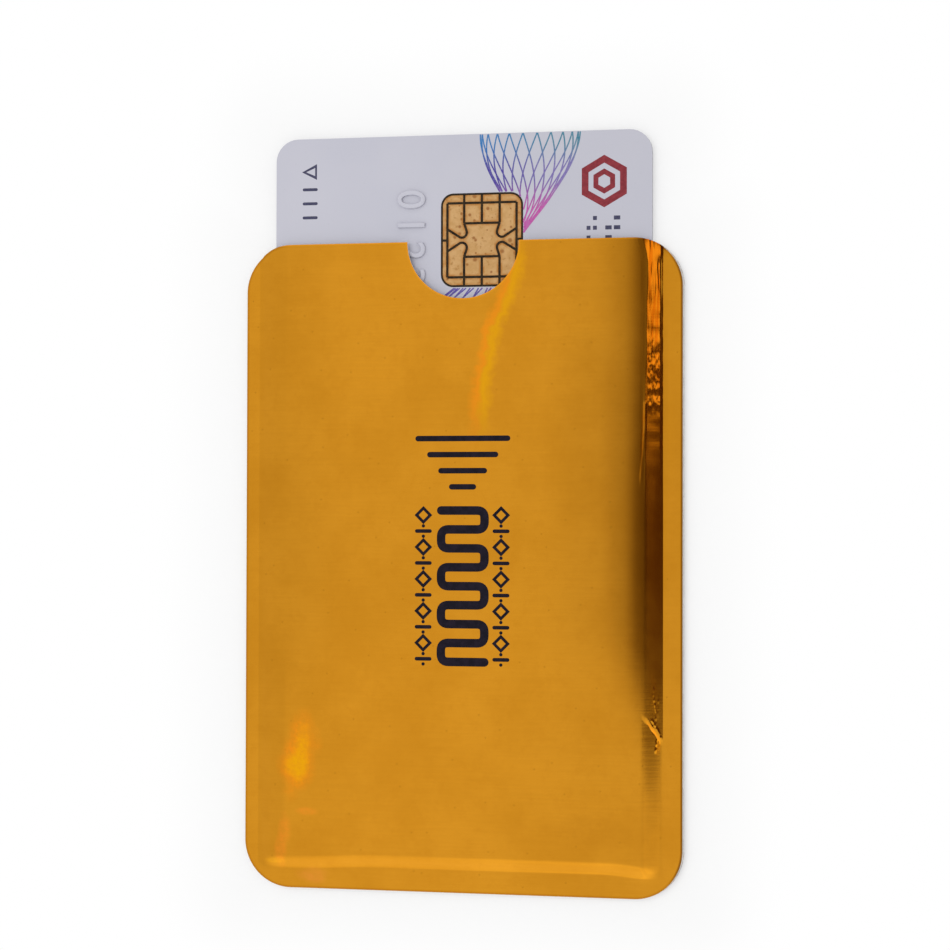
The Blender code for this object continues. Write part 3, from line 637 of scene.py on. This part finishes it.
def contact_look():
    """Worn gold: tan, with cream painted on the bevels as a highlight, darker orange-brown towards
    each contact's edges, brown specks and fine scratches.
    """
    made, tree, inputs, place = material("contact_gold", roughness=0.38, metallic=0.75)
    wear = tree.noise(place, 700.0, 4.0, 0.65)
    colour = tree.mix(tree.span(wear, 0.35, 0.65), (0.585, 0.335, 0.125), (0.665, 0.405, 0.175))
    blot = tree.noise(tree.scaled(place, (1, 1, 1), (0.3, 0.1, 0)), 1500.0, 3.0, 0.7)
    colour = tree.mix(tree.span(blot, 0.56, 0.72, 0.0, 0.75), colour, (0.40, 0.19, 0.05))
    size = tree.span(tree.noise(place, 330.0), 0.36, 0.60, 0.02, 0.19)
    for scale, start in ((430.0, 0.0), (610.0, 0.013)):
        spot = tree.cells(tree.scaled(place, (1, 1, 1), (start, start, 0)), scale)
        spot = tree.span(spot, tree.product(size, 0.35), size, 0.80, 0.0)
        colour = tree.mix(spot, colour, (0.31, 0.115, 0.030))
    # Darker orange-brown towards each contact's edges
    rim = tree.add("Attribute", {"attribute_name": "rim"}).outputs["Fac"]
    darker_rim = tree.product(rim, tree.span(tree.noise(place, 900.0, 3.0), 0.35, 0.65, 0.30, 1.0))
    colour = tree.mix(darker_rim, colour, (0.46, 0.175, 0.030))
    # Painted highlight: cream where the face tilts, on the bevels
    upright = tree.axes(tree.add("NewGeometry").outputs["Normal"])[2]
    colour = tree.mix(tree.span(upright, 0.97, 0.80, 0.0, 0.6), colour, (0.75, 0.52, 0.25))
    scratch = tree.noise(tree.scaled(place, (6000.0, 700.0, 1000.0)), 1.0, 3.0)
    tree.feed(inputs, Base_Color=colour, Normal=tree.bump(scratch, 2.0e-6))
    return made


def ribbon_look():
    """Printed line work, from blue at the card's head to violet and magenta."""
    made, tree, inputs, place = material("card_line_ink", roughness=0.35, specular=0.4)
    across, along = tree.millimetres(place)
    first = tree.mix(tree.span(across, 2.0, 15.0), (0.006, 0.17, 0.47), (0.045, 0.21, 0.30))
    second = tree.mix(tree.span(across, 5.0, 14.0), (0.050, 0.030, 0.30), (0.20, 0.155, 0.42))
    third = tree.mix(tree.span(across, 2.0, 9.0), (0.085, 0.050, 0.34), (0.52, 0.07, 0.36))
    colour = tree.mix(tree.span(along, 59.5, 55.5), first, second)
    colour = tree.mix(tree.span(along, 54.5, 49.5), colour, third)
    grain = tree.span(tree.noise(place, 4000.0, 2.0), 0.3, 0.8, 0.0, 0.25)
    tree.feed(inputs, Base_Color=tree.mix(grain, colour, (0.40, 0.42, 0.55)))
    return made


LOOKS = {
    "gold": gold_film(),
    "foil": plain_look("shield_foil", (0.70, 0.71, 0.73), (0.82, 0.82, 0.84), 900.0, 0.28, 1.0,
                       bump=4.0e-6, stretch=(1.0, 4.0, 1.0)),
    "paper": plain_look("liner_paper", (0.74, 0.73, 0.70), (0.84, 0.83, 0.81), 1600.0, 0.85,
                        specular=0.2, bump=8.0e-6, stretch=(1.0, 0.4, 1.0)),
    "glue": plain_look("seal_glue", (0.50, 0.43, 0.26), (0.62, 0.55, 0.38), 800.0, 0.5, bump=5e-6),
    "face": card_face_look(),
    "back": plain_look("card_back", (0.56, 0.56, 0.60), (0.62, 0.62, 0.66), 80.0, 0.30, bump=1e-6),
    "core": plain_look("card_core", (0.50, 0.50, 0.54), (0.58, 0.58, 0.61), 2500.0, 0.45,
                       bump=3e-6),
    "copper": plain_look("antenna_copper", (0.66, 0.26, 0.12), (0.78, 0.36, 0.19), 900.0, 0.3, 1.0),
    "tape": plain_look("carrier_tape", (0.016, 0.010, 0.005), (0.040, 0.026, 0.012), 2200.0, 0.6,
                       specular=0.15, bump=4e-6),
    "resin": plain_look("chip_resin", (0.012, 0.012, 0.014), (0.025, 0.025, 0.028), 1500.0, 0.45),
    "silicon": plain_look("chip_silicon", (0.08, 0.09, 0.12), (0.13, 0.14, 0.18), 1200.0, 0.2, 0.6),
    "contact": contact_look(),
    "stripe": plain_look("stripe_black", (0.016, 0.013, 0.011), (0.030, 0.024, 0.020), 900.0, 0.3,
                         bump=1e-6, stretch=(6.0, 0.2, 1.0)),
    "signature": plain_look("signature_white", (0.80, 0.80, 0.77), (0.88, 0.88, 0.86), 1300.0,
                            0.8, specular=0.2, bump=5e-6),
    "ink": plain_look("print_ink", (0.0060, 0.0045, 0.0105), (0.0130, 0.0095, 0.0190), 1100.0,
                      0.5, specular=0.1, bump=2e-6),
    "line_ink": ribbon_look(),
    "red_ink": plain_look("card_red_ink", (0.20, 0.010, 0.020), (0.27, 0.022, 0.034), 1800.0,
                          0.35, specular=0.4, bump=1e-6),
    "navy_ink": plain_look("card_navy_ink", (0.035, 0.035, 0.085), (0.060, 0.060, 0.120), 1800.0,
                           0.35, specular=0.4, bump=1e-6),
}


# Front sheet: film, foil and paper, which follow one worn form

CORNER_STEPS, NOTCH_SIDES = 28, 144

front_trim, back_trim = (
    prism(name, rounded_outline(SLEEVE_LEFT, right, FOOT_Y, MOUTH_Y, SLEEVE_RADIUS, CORNER_STEPS))
    for name, right in (("front_trim", SLEEVE_RIGHT), ("back_trim", SLEEVE_RIGHT + BACK_OVERHANG)))
notch_trim = prism("notch_trim", ring_points(NOTCH_X, MOUTH_Y, NOTCH_RADIUS, NOTCH_SIDES))

# Grid lines of the front sheet: where each stretch starts, and its number of cells
FRONT_COLUMNS = ((SLEEVE_LEFT - GRID_MARGIN, 5), (POCKET_LEFT, 14),
                 (POCKET_LEFT + LEFT_SHOULDER, 38), (18.0, 14), (24.4, 10), (25.4, 48), (28.6, 9),
                 (SLEEVE_RIGHT + GRID_MARGIN, 0))
FRONT_ROWS = ((FOOT_Y - GRID_MARGIN, 5), (POCKET_FOOT, 26), (-39.5, 18), (-26.0, 105),
              (-11.0, 36), (15.0, 180), (MOUTH_Y + GRID_MARGIN, 0))
LAYER_GAP = 0.02  # room under the film for the coarser layers


def grid_lines(stretches, step=1.0):
    """Grid lines through stretches of cells. A step of 1 is the finest."""
    lines = []
    for (start, cells), (end, _) in zip(stretches, stretches[1:]):
        count = max(round(cells / step), 1)
        lines += [start + (end - start) * index / count for index in range(count)]
    return lines + [stretches[-1][0]]


def front_form(x, y):
    """The inner face of the front sheet at x, y, and the direction square to it."""
    point, square = outward(worn_height, x, y)
    return point + Vector((0, 0, ridge_relief(x, y))), square


# Each layer replaces a node: its look, offsets from the sheet's inner face, grid step and slot
FOIL_LOW = PAPER + BOND - LAYER_GAP
for node, look, low, high, step, slot in (
        ("front_film", "gold", LAMINATE - FILM, LAMINATE, 1.0, "gold_film"),
        ("front_foil", "foil", FOIL_LOW, FOIL_LOW + FOIL, 3.0, "shield_foil"),
        ("front_paper", "paper", 0.0, PAPER - LAYER_GAP, 3.0, "liner_paper")):
    lines = grid_lines(FRONT_COLUMNS, step), grid_lines(FRONT_ROWS, step)
    layer = trimmed_sheet("worn_" + node, lines, front_form, low, high,
                          ((front_trim, "INTERSECT"), (notch_trim, "DIFFERENCE")))
    dress(layer, LOOKS[look])
    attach(layer, "sleeve")
    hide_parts(node)


# Back sheet: its film is redrawn finer, its foil and paper stay

BACK_COLUMNS = ((SLEEVE_LEFT - GRID_MARGIN, 4), (POCKET_LEFT, 14), (POCKET_LEFT + BACK_LEFT, 60),
                (POCKET_RIGHT - BACK_RIGHT, 14), (POCKET_RIGHT, 5), (SLEEVE_RIGHT + GRID_MARGIN, 0))
BACK_ROWS = ((FOOT_Y - GRID_MARGIN, 4), (POCKET_FOOT, 14), (POCKET_FOOT + BACK_FOOT, 90),
             (MOUTH_Y + GRID_MARGIN, 0))


def back_form(x, y):
    """The outer face of the back sheet at x, y, and upwards."""
    return Vector((x, y, back_height(x, y))), Vector((0, 0, 1))


back_film = trimmed_sheet("fine_back_film", (grid_lines(BACK_COLUMNS), grid_lines(BACK_ROWS)),
                          back_form, 0.0, FILM, ((back_trim, "INTERSECT"),))
dress(back_film, LOOKS["gold"])
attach(back_film, "sleeve")
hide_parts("back_film")

for helper in (front_trim, back_trim, notch_trim):
    bpy.data.objects.remove(helper)

for name, look in dict(
        back_foil="foil", back_paper="paper", edge_seal="glue", card_front_overlay="face",
        card_front_core="core", card_inlay="core", card_back_core="core", card_back_overlay="back",
        antenna_coil="copper", chip_carrier_tape="tape", chip_encapsulation="resin",
        chip_die="silicon", magnetic_stripe="stripe", signature_panel="signature").items():
    dress(NODES[name], LOOKS[look])


# Contacts: each as in the solids, with its edges rounded

CELL, RIM_REACH, BEVEL, SAME_PLACE = 0.14 * MM, 0.32 * MM, 0.035 * MM, 0.0001 * MM


def side_distance(spot, first, second):
    """The distance from a spot to the side between two corners."""
    along = second - first
    share = clamp((spot - first).dot(along) / max(along.length_squared, 1e-16))
    return (spot - first - along * share).length


def diced(shape, face, corners):
    """Cut a face into small cells, along both axes."""
    faces = [face]
    for axis, normal in ((0, (1, 0, 0)), (1, (0, 1, 0))):
        low, high = min(spot[axis] for spot in corners), max(spot[axis] for spot in corners)
        for cut in range(1, int((high - low) / CELL) + 1):
            at = [0.0, 0.0, 0.0]
            at[axis] = low + cut * CELL
            parts = set(faces)
            for part in faces:
                parts.update(part.verts, part.edges)
            result = bmesh.ops.bisect_plane(shape, geom=list(parts), plane_co=at, plane_no=normal,
                                            dist=SAME_PLACE)
            faces = [part for part in result["geom"] if isinstance(part, bmesh.types.BMFace)]
    return faces


def measure_rim(mesh):
    """Dice a contact's front face, and mark how near each corner is to its edge."""
    shape = bmesh.new()
    shape.from_mesh(mesh)
    front = max(shape.faces, key=lambda face: face.calc_area() * face.normal.z)
    corners = [vertex.co.xy.copy() for vertex in front.verts]
    sides = list(zip(corners, corners[1:] + corners[:1]))
    faces = diced(shape, front, corners)
    rim = shape.verts.layers.float.new("rim")
    inner = {vertex for face in faces for vertex in face.verts}
    for vertex in shape.verts:
        vertex[rim] = 1.0
        if vertex in inner:
            far = min(side_distance(vertex.co.xy, *side) for side in sides)
            vertex[rim] = max(1.0 - far / RIM_REACH, 0.0)
    shape.to_mesh(mesh)
    shape.free()


def rounded_contact(name):
    """A copy of a contact with a small round along its edges."""
    mesh = NODES[name].data.copy()
    shape = bmesh.new()
    shape.from_mesh(mesh)
    bmesh.ops.remove_doubles(shape, verts=shape.verts, dist=SAME_PLACE)
    bmesh.ops.dissolve_limit(shape, angle_limit=math.radians(1.0), verts=shape.verts,
                             edges=shape.edges)
    shape.to_mesh(mesh)
    shape.free()
    work = new_object(name + "_work", mesh)
    bevel = work.modifiers.new("round", "BEVEL")
    bevel.width = BEVEL
    bevel.segments = 2
    bevel.limit_method = "ANGLE"
    bevel.angle_limit = math.radians(50)
    rounded = finished_mesh(work)
    measure_rim(rounded)
    smooth_faces(rounded, 60.0)
    piece = new_object("rounded_" + name, rounded)
    dress(piece, LOOKS["contact"])
    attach(piece, "card")
    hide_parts(name)


for name in sorted(NODES):
    if name.startswith("contact_"):
        rounded_contact(name)


# Flat print, as thin strokes of ink that follow what carries them

CAP_STEPS, DISC_SIDES, BEND_STEPS = 8, 24, 6
SUNK = 0.003
# A print's thickness and slot, by the body that it is on
PRINTS = {"sleeve": (0.012, "gold_film"), "card": (0.004, "card_face")}


def stroke(shape, path, width, height, closed=False, caps=True):
    """A band of quads along a path, with round ends. height(x, y) gives its level."""
    def vert(x, y):
        return shape.verts.new((x * MM, y * MM, height(x, y) * MM))
    count = len(path)
    pairs = []
    for index in range(count):
        before = path[index - 1] if closed or index else path[0]
        after = path[(index + 1) % count] if closed or index < count - 1 else path[-1]
        along = Vector((after[0] - before[0], after[1] - before[1])).normalized()
        side = Vector((-along.y, along.x)) * width / 2
        x, y = path[index]
        pairs.append((vert(x + side.x, y + side.y), vert(x - side.x, y - side.y), side))
    for index in range(count if closed else count - 1):
        left, right, _ = pairs[index]
        next_left, next_right, _ = pairs[(index + 1) % count]
        shape.faces.new((right, next_right, next_left, left))
    if closed or not caps:
        return
    for index, turn in ((0, 1), (count - 1, -1)):
        left, right, side = pairs[index]
        x, y = path[index]
        loop = [left]
        for step in range(1, CAP_STEPS):
            spoke = Matrix.Rotation(turn * math.pi * step / CAP_STEPS, 2) @ side
            loop.append(vert(x + spoke.x, y + spoke.y))
        loop.append(right)
        shape.faces.new(loop if turn > 0 else list(reversed(loop)))


def disc(shape, x, y, radius, height):
    """A flat disc."""
    verts = [shape.verts.new((across * MM, along * MM, height(across, along) * MM))
             for across, along in ring_points(x, y, radius, DISC_SIDES)]
    shape.faces.new(verts)


def printed(name, shape, look, body):
    """Turn strokes into a thin raised print on a body."""
    thickness, slot = PRINTS[body]
    bmesh.ops.recalc_face_normals(shape, faces=shape.faces)
    for face in shape.faces:
        if face.normal.z < 0:
            face.normal_flip()
    mesh = finished_mesh(flat_work(mesh_from(shape, name), thickness))
    smooth_faces(mesh, 30.0)
    piece = new_object(name, mesh)
    dress(piece, LOOKS[look])
    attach(piece, body)


def film_level(x, y):
    """The front film's outer face, with the ink sunk in it a little."""
    return worn_height(x, y) + LAMINATE - SUNK


def rounded_polyline(corners, radius):
    """A path through corners, each of them rounded."""
    points = [corners[0]]
    for before, corner, after in zip(corners, corners[1:], corners[2:]):
        into = (Vector(before) - Vector(corner)).normalized()
        out = (Vector(after) - Vector(corner)).normalized()
        for step in range(BEND_STEPS + 1):
            share = step / BEND_STEPS
            spot = Vector(corner) + into * radius * (1 - share) ** 2 + out * radius * share ** 2
            points.append(tuple(spot))
    points.append(corners[-1])
    return points


PRINT_X = 0.55
BARS, BAR_TOP, BAR_PITCH, BAR_WIDTH, BAR_STEPS = (6.4, 4.7, 3.1, 1.55), 17.9, 2.25, 0.78, 12
BAND_TOP, BAND_FOOT, BAND_ROWS, BAND_WIDTH, BAND_BEND = 7.85, -13.25, 9, 1.22, 1.05
BAND_LEFT, BAND_RIGHT = PRINT_X - 3.05, PRINT_X + 3.15
SIGN_COLUMNS, SIGN_ROWS, SIGN_TOP, SIGN_PITCH = (-5.05, 6.05), 10, 7.2, 2.23
DIAMOND_HALF, DASH_HALF, DOT_OFFSET, DOT_RADIUS = 0.98, 0.95, 0.72, 0.24


def sleeve_print():
    """Four narrowing bars, a thick winding band and two columns of small signs."""
    shape = bmesh.new()
    for index, reach in enumerate(BARS):
        y = BAR_TOP - BAR_PITCH * index
        path = [(PRINT_X + reach * (2 * step / BAR_STEPS - 1), y) for step in range(BAR_STEPS + 1)]
        stroke(shape, path, BAR_WIDTH, film_level)
    corners = []
    for row in range(BAND_ROWS):
        y = BAND_TOP - row * (BAND_TOP - BAND_FOOT) / (BAND_ROWS - 1)
        ends = (BAND_RIGHT, BAND_LEFT) if row % 2 else (BAND_LEFT, BAND_RIGHT)
        corners += [(end, y) for end in ends]
    stroke(shape, rounded_polyline(corners, BAND_BEND), BAND_WIDTH, film_level)
    for column in SIGN_COLUMNS:
        for index in range(SIGN_ROWS):
            y = SIGN_TOP - index * SIGN_PITCH
            if index % 2 == 0:
                path = [(column + DIAMOND_HALF, y), (column, y + DIAMOND_HALF),
                        (column - DIAMOND_HALF, y), (column, y - DIAMOND_HALF)]
                stroke(shape, path, 0.42 / math.cos(math.pi / 4), film_level, closed=True)
            else:
                path = [(column - DASH_HALF, y), (column, y), (column + DASH_HALF, y)]
                stroke(shape, path, 0.52, film_level)
                for offset in (DOT_OFFSET, -DOT_OFFSET):
                    disc(shape, column, y + offset, DOT_RADIUS, film_level)
    printed("sleeve_print", shape, "ink", "sleeve")


sleeve_print()


# The card's print

MODULE_X, MODULE_Y = CARD_HALF_WIDTH - 24.02, CARD_Y + CARD_HALF_LENGTH - 14.86
MODULE_HALF_WIDTH, MODULE_HALF_LENGTH, MODULE_RADIUS = 5.60 + 0.29, 6.30 + 0.29, 1.5 + 0.29
LINES, LINE_STEPS, LINE_WIDTH, LINE_LIFT = 22, 560, 0.19, 0.0005
LINES_TOP, LINES_LENGTH, WAIST_PITCH = 42.7, 85.4, 14.5


def card_level(x, y):
    """Just above the card's front."""
    return CARD_FRONT + SUNK


def off_module(x, y):
    """How far a point is outside the contact module, negative within it."""
    over = abs(x - MODULE_X) - MODULE_HALF_WIDTH + MODULE_RADIUS
    along = abs(y - MODULE_Y) - MODULE_HALF_LENGTH + MODULE_RADIUS
    return math.hypot(max(over, 0.0), max(along, 0.0)) + min(max(over, along), 0.0) - MODULE_RADIUS


def clear_runs(path):
    """The stretches of a path that stay clear of the contact module."""
    runs = [[]]
    for x, y in path:
        if off_module(x, y) > 0.02:
            runs[-1].append((x, y))
        elif runs[-1]:
            runs.append([])
    return [stretch for stretch in runs if len(stretch) > 2]


def ribbon_spot(phase, v):
    """A line's point on the twisted ribbon, at v from the card's middle."""
    swing = smooth(34.0, 4.0, v) * (1 - smooth(-14.0, -40.0, v))
    middle = 9.6 + 0.3 * math.sin(v / 6) - 15.5 * swing
    down = CARD_HALF_LENGTH - v
    waist = abs(math.cos(down / WAIST_PITCH * math.pi / 2))
    return middle + (0.8 + 6.3 * waist ** 1.5) * math.cos(phase + down * 0.05), CARD_Y + v


def card_lines():
    """A twisted ribbon of fine lines, each a little above the last."""
    shape = bmesh.new()
    for index in range(LINES):
        path = [ribbon_spot(math.tau * index / LINES, LINES_TOP - LINES_LENGTH * step / LINE_STEPS)
                for step in range(LINE_STEPS + 1)]
        for stretch in clear_runs(path):
            stroke(shape, stretch, LINE_WIDTH, lambda x, y: card_level(x, y) + LINE_LIFT * index,
                   caps=False)
    printed("card_line_work", shape, "line_ink", "card")


def card_marks():
    """A plain hexagon mark, a triangle, and short bars and squares."""
    shape = bmesh.new()
    for radius, width in ((3.1, 0.95), (1.35, 0.7)):
        ring = ring_points(20.3, 53.5, radius, 6, 0.5)
        stroke(shape, ring, width / math.cos(math.pi / 6), card_level, closed=True)
    printed("card_hexagon", shape, "red_ink", "card")

    shape = bmesh.new()
    for column, width in ((18.1, 0.55), (19.0, 0.55), (20.9, 0.9), (22.1, 0.9)):
        for row in range(14):
            y = 48.4 - row * 1.35
            if (row + round(column)) % 3:
                path = [(column, y - 0.28), (column, y + 0.28)]
                stroke(shape, path, width, card_level, caps=False)
    triangle = [(-22.9, 55.9), (-21.15, 56.75), (-21.15, 55.05)]
    stroke(shape, triangle, 0.30 / math.cos(math.pi / 3), card_level, closed=True)
    for row in range(3):
        y = 53.4 - 2.0 * row
        stroke(shape, [(-22.9, y), (-22.0, y), (-21.1, y)], 0.42, card_level)
    printed("card_small_marks", shape, "navy_ink", "card")


card_lines()
card_marks()


DIGITS, DIGITS_X, DIGIT_PITCH, DIGIT_SIZE = "0123 4567 8901 2345", -9.05, 3.63, 5.6
FIRST_DIGIT_Y = CARD_Y + CARD_HALF_LENGTH - 9.0
DIGIT_RISE, DIGIT_BEVEL, DIGIT_THINNING = 0.20, 0.11, -0.06


def digit_mesh(sign, y):
    """One digit, turned along the card and in its place."""
    data = bpy.data.curves.new("digit", "FONT")
    data.body = sign
    data.size = DIGIT_SIZE * MM
    data.align_x = "CENTER"
    data.extrude = DIGIT_BEVEL * MM
    data.bevel_depth = DIGIT_BEVEL * MM
    data.bevel_resolution = 2
    data.offset = DIGIT_THINNING * MM
    mesh = finished_mesh(new_object("digit", data))
    mesh.transform(Matrix.Rotation(-math.pi / 2, 4, "Z"))
    mesh.transform(Matrix.Translation(Vector((DIGITS_X, y, CARD_FRONT + DIGIT_RISE)) * MM))
    return mesh


def embossed_digits():
    """A row of plain digits pressed up along the card."""
    joined = bmesh.new()
    for index, sign in enumerate(DIGITS):
        if sign != " ":
            joined.from_mesh(digit_mesh(sign, FIRST_DIGIT_Y - index * DIGIT_PITCH))
    bmesh.ops.remove_doubles(joined, verts=joined.verts, dist=SAME_PLACE)
    mesh = mesh_from(joined, "embossed_digits")
    smooth_faces(mesh, 50.0)
    piece = new_object("embossed_digits", mesh)
    dress(piece, LOOKS["face"])
    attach(piece, "card")


embossed_digits()


# Floor, world, light and camera

FLOOR_HALF, FLOOR_DROP, SHADOW_REACH = 2.0, 0.02 * MM, 0.015


def make_floor():
    """A pale floor that keeps the soft shadow and is white beyond it."""
    shape = bmesh.new()
    bmesh.ops.create_grid(shape, x_segments=2, y_segments=2, size=FLOOR_HALF)
    floor = new_object("floor", mesh_from(shape, "floor"))
    floor.location.z = -FLOOR_DROP
    made, tree, inputs, place = material("pale_floor", roughness=0.9, specular=0.0)
    nodes = made.node_tree.nodes
    grain = tree.noise(place, 900.0, 3.0)
    tree.feed(inputs, Base_Color=tree.mix(grain, (0.955, 0.955, 0.955), (0.975, 0.975, 0.975)))
    near = tree.math("MINIMUM", tree.beyond(place, (0.0, 0.0), (31.3, 45.5)),
                     tree.beyond(place, (0.0, CARD_Y), (CARD_HALF_WIDTH, CARD_HALF_LENGTH)))
    far = tree.span(near, 0.0, SHADOW_REACH, 0.45, 1.0)
    seen = tree.product(far, tree.add("LightPath").outputs["Is Camera Ray"])
    glow = tree.add("Emission", Color=(1.0, 1.0, 1.0), Strength=1.0)
    blend = tree.fed("MixShader", None,
                     (seen, nodes["Principled BSDF"].outputs[0], glow.outputs[0]))
    tree.put(nodes["Material Output"].inputs[0], blend.outputs[0])
    dress(floor, made)


# Factors of what gloss reflects, by its tilt to the right in degrees or its reach along the
# sleeve from -1 to 1: from, to, and the factors there
LEVEL = (("tilt", -22.0, -14.0, 0.905, 1.035), ("tilt", -13.0, -8.4, 1.0, 0.915),
         ("tilt", 12.0, 22.0, 1.0, 1.09), ("reach", -0.02, -0.11, 1.0, 1.045),
         ("reach", 0.02, 0.08, 1.0, 1.035), ("reach", -0.20, -1.00, 1.0, 1.42))
DARK_SIDE = (("tilt", 5.0, 14.0, 0.725, 1.0), ("tilt", 92.0, 85.0, 0.0, 1.0),
             ("reach", 0.28, 0.18, 0.0, 1.0), ("reach", -0.092, -0.078, 0.5, 1.0),
             ("reach", -0.113, -0.094, 0.0, 1.0))
WARM_STRIP = (("tilt", 14.5, 17.5, 0.0, 1.0), ("tilt", 34.0, 30.0, 0.0, 1.0),
              ("reach", 0.056, 0.070, 0.0, 1.0))
# The dark side's edge: from reach to reach, and the tilt there
DARK_EDGE, DARK_EDGE_WIDTH = (-0.066, -0.126, -8.5, 62.0), 5.0


def make_world():
    """A studio that is white to the eye, grey for soft light, and bright in gloss, with a dark
    side to the right and a warm strip in it."""
    world = bpy.data.worlds.new("studio")
    bpy.context.scene.world = world
    world.use_nodes = True
    tree = Tree(world.node_tree)
    x, y, z = tree.axes(tree.coordinates["Generated"])
    tilt = tree.product(tree.math("ARCTAN2", x, z), 180 / math.pi)

    def factors(rows):
        return [tree.span(tilt if kind == "tilt" else y, *numbers) for kind, *numbers in rows]

    edge = tree.span(y, *DARK_EDGE, kind="LINEAR")
    side = tree.span(tilt, edge, tree.math("ADD", edge, DARK_EDGE_WIDTH))
    dark = tree.product(side, *factors(DARK_SIDE))
    level = tree.product(*factors(LEVEL))
    bright = tree.add("CombineXYZ", X=level, Y=level, Z=level).outputs[0]
    glossy = tree.mix(dark, bright, (0.100, 0.045, 0.025))
    glossy = tree.mix(tree.product(*factors(WARM_STRIP)), glossy, (1.60, 1.10, 0.60))
    path = tree.add("LightPath").outputs
    colour = tree.mix(path["Is Glossy Ray"], (0.80, 0.80, 0.80), glossy)
    white = tree.math("MAXIMUM", path["Is Camera Ray"], path["Is Transmission Ray"])
    background = world.node_tree.nodes["Background"]
    tree.feed(background.inputs, Color=tree.mix(white, colour, (1.0, 1.0, 1.0)))


def make_light():
    """One large soft lamp overhead."""
    data = bpy.data.lights.new("softbox", "AREA")
    data.shape = "SQUARE"
    data.size = 0.6
    data.energy = 1.4
    lamp = new_object("softbox", data)
    lamp.location = (-0.25, 0.15, 0.8)
    lamp.rotation_euler = (-lamp.location).to_track_quat("-Z", "Y").to_euler()
    lamp.visible_glossy = False


CAMERA_PLACE = (77.263, 6.150, 342.226)
CAMERA_FORWARD = (-0.21524668, 0.01908827, -0.97637314)
CAMERA_UP = (0.00170442, 0.99981477, 0.01917081)


def make_camera():
    """The photograph's camera, as fitted to the sleeve's sides."""
    data = bpy.data.cameras.new("camera")
    data.lens = 94.74
    data.sensor_width = 36.0
    data.clip_start = 0.01
    camera = new_object("camera", data)
    forward = Vector(CAMERA_FORWARD).normalized()
    right = forward.cross(Vector(CAMERA_UP)).normalized()
    up = right.cross(forward)
    turn = Matrix((right, up, -forward)).transposed()
    camera.matrix_world = Matrix.Translation(Vector(CAMERA_PLACE) * MM) @ turn.to_4x4()
    bpy.context.scene.camera = camera


make_floor()
make_world()
make_light()
make_camera()
bpy.context.scene.view_settings.view_transform = "Standard"
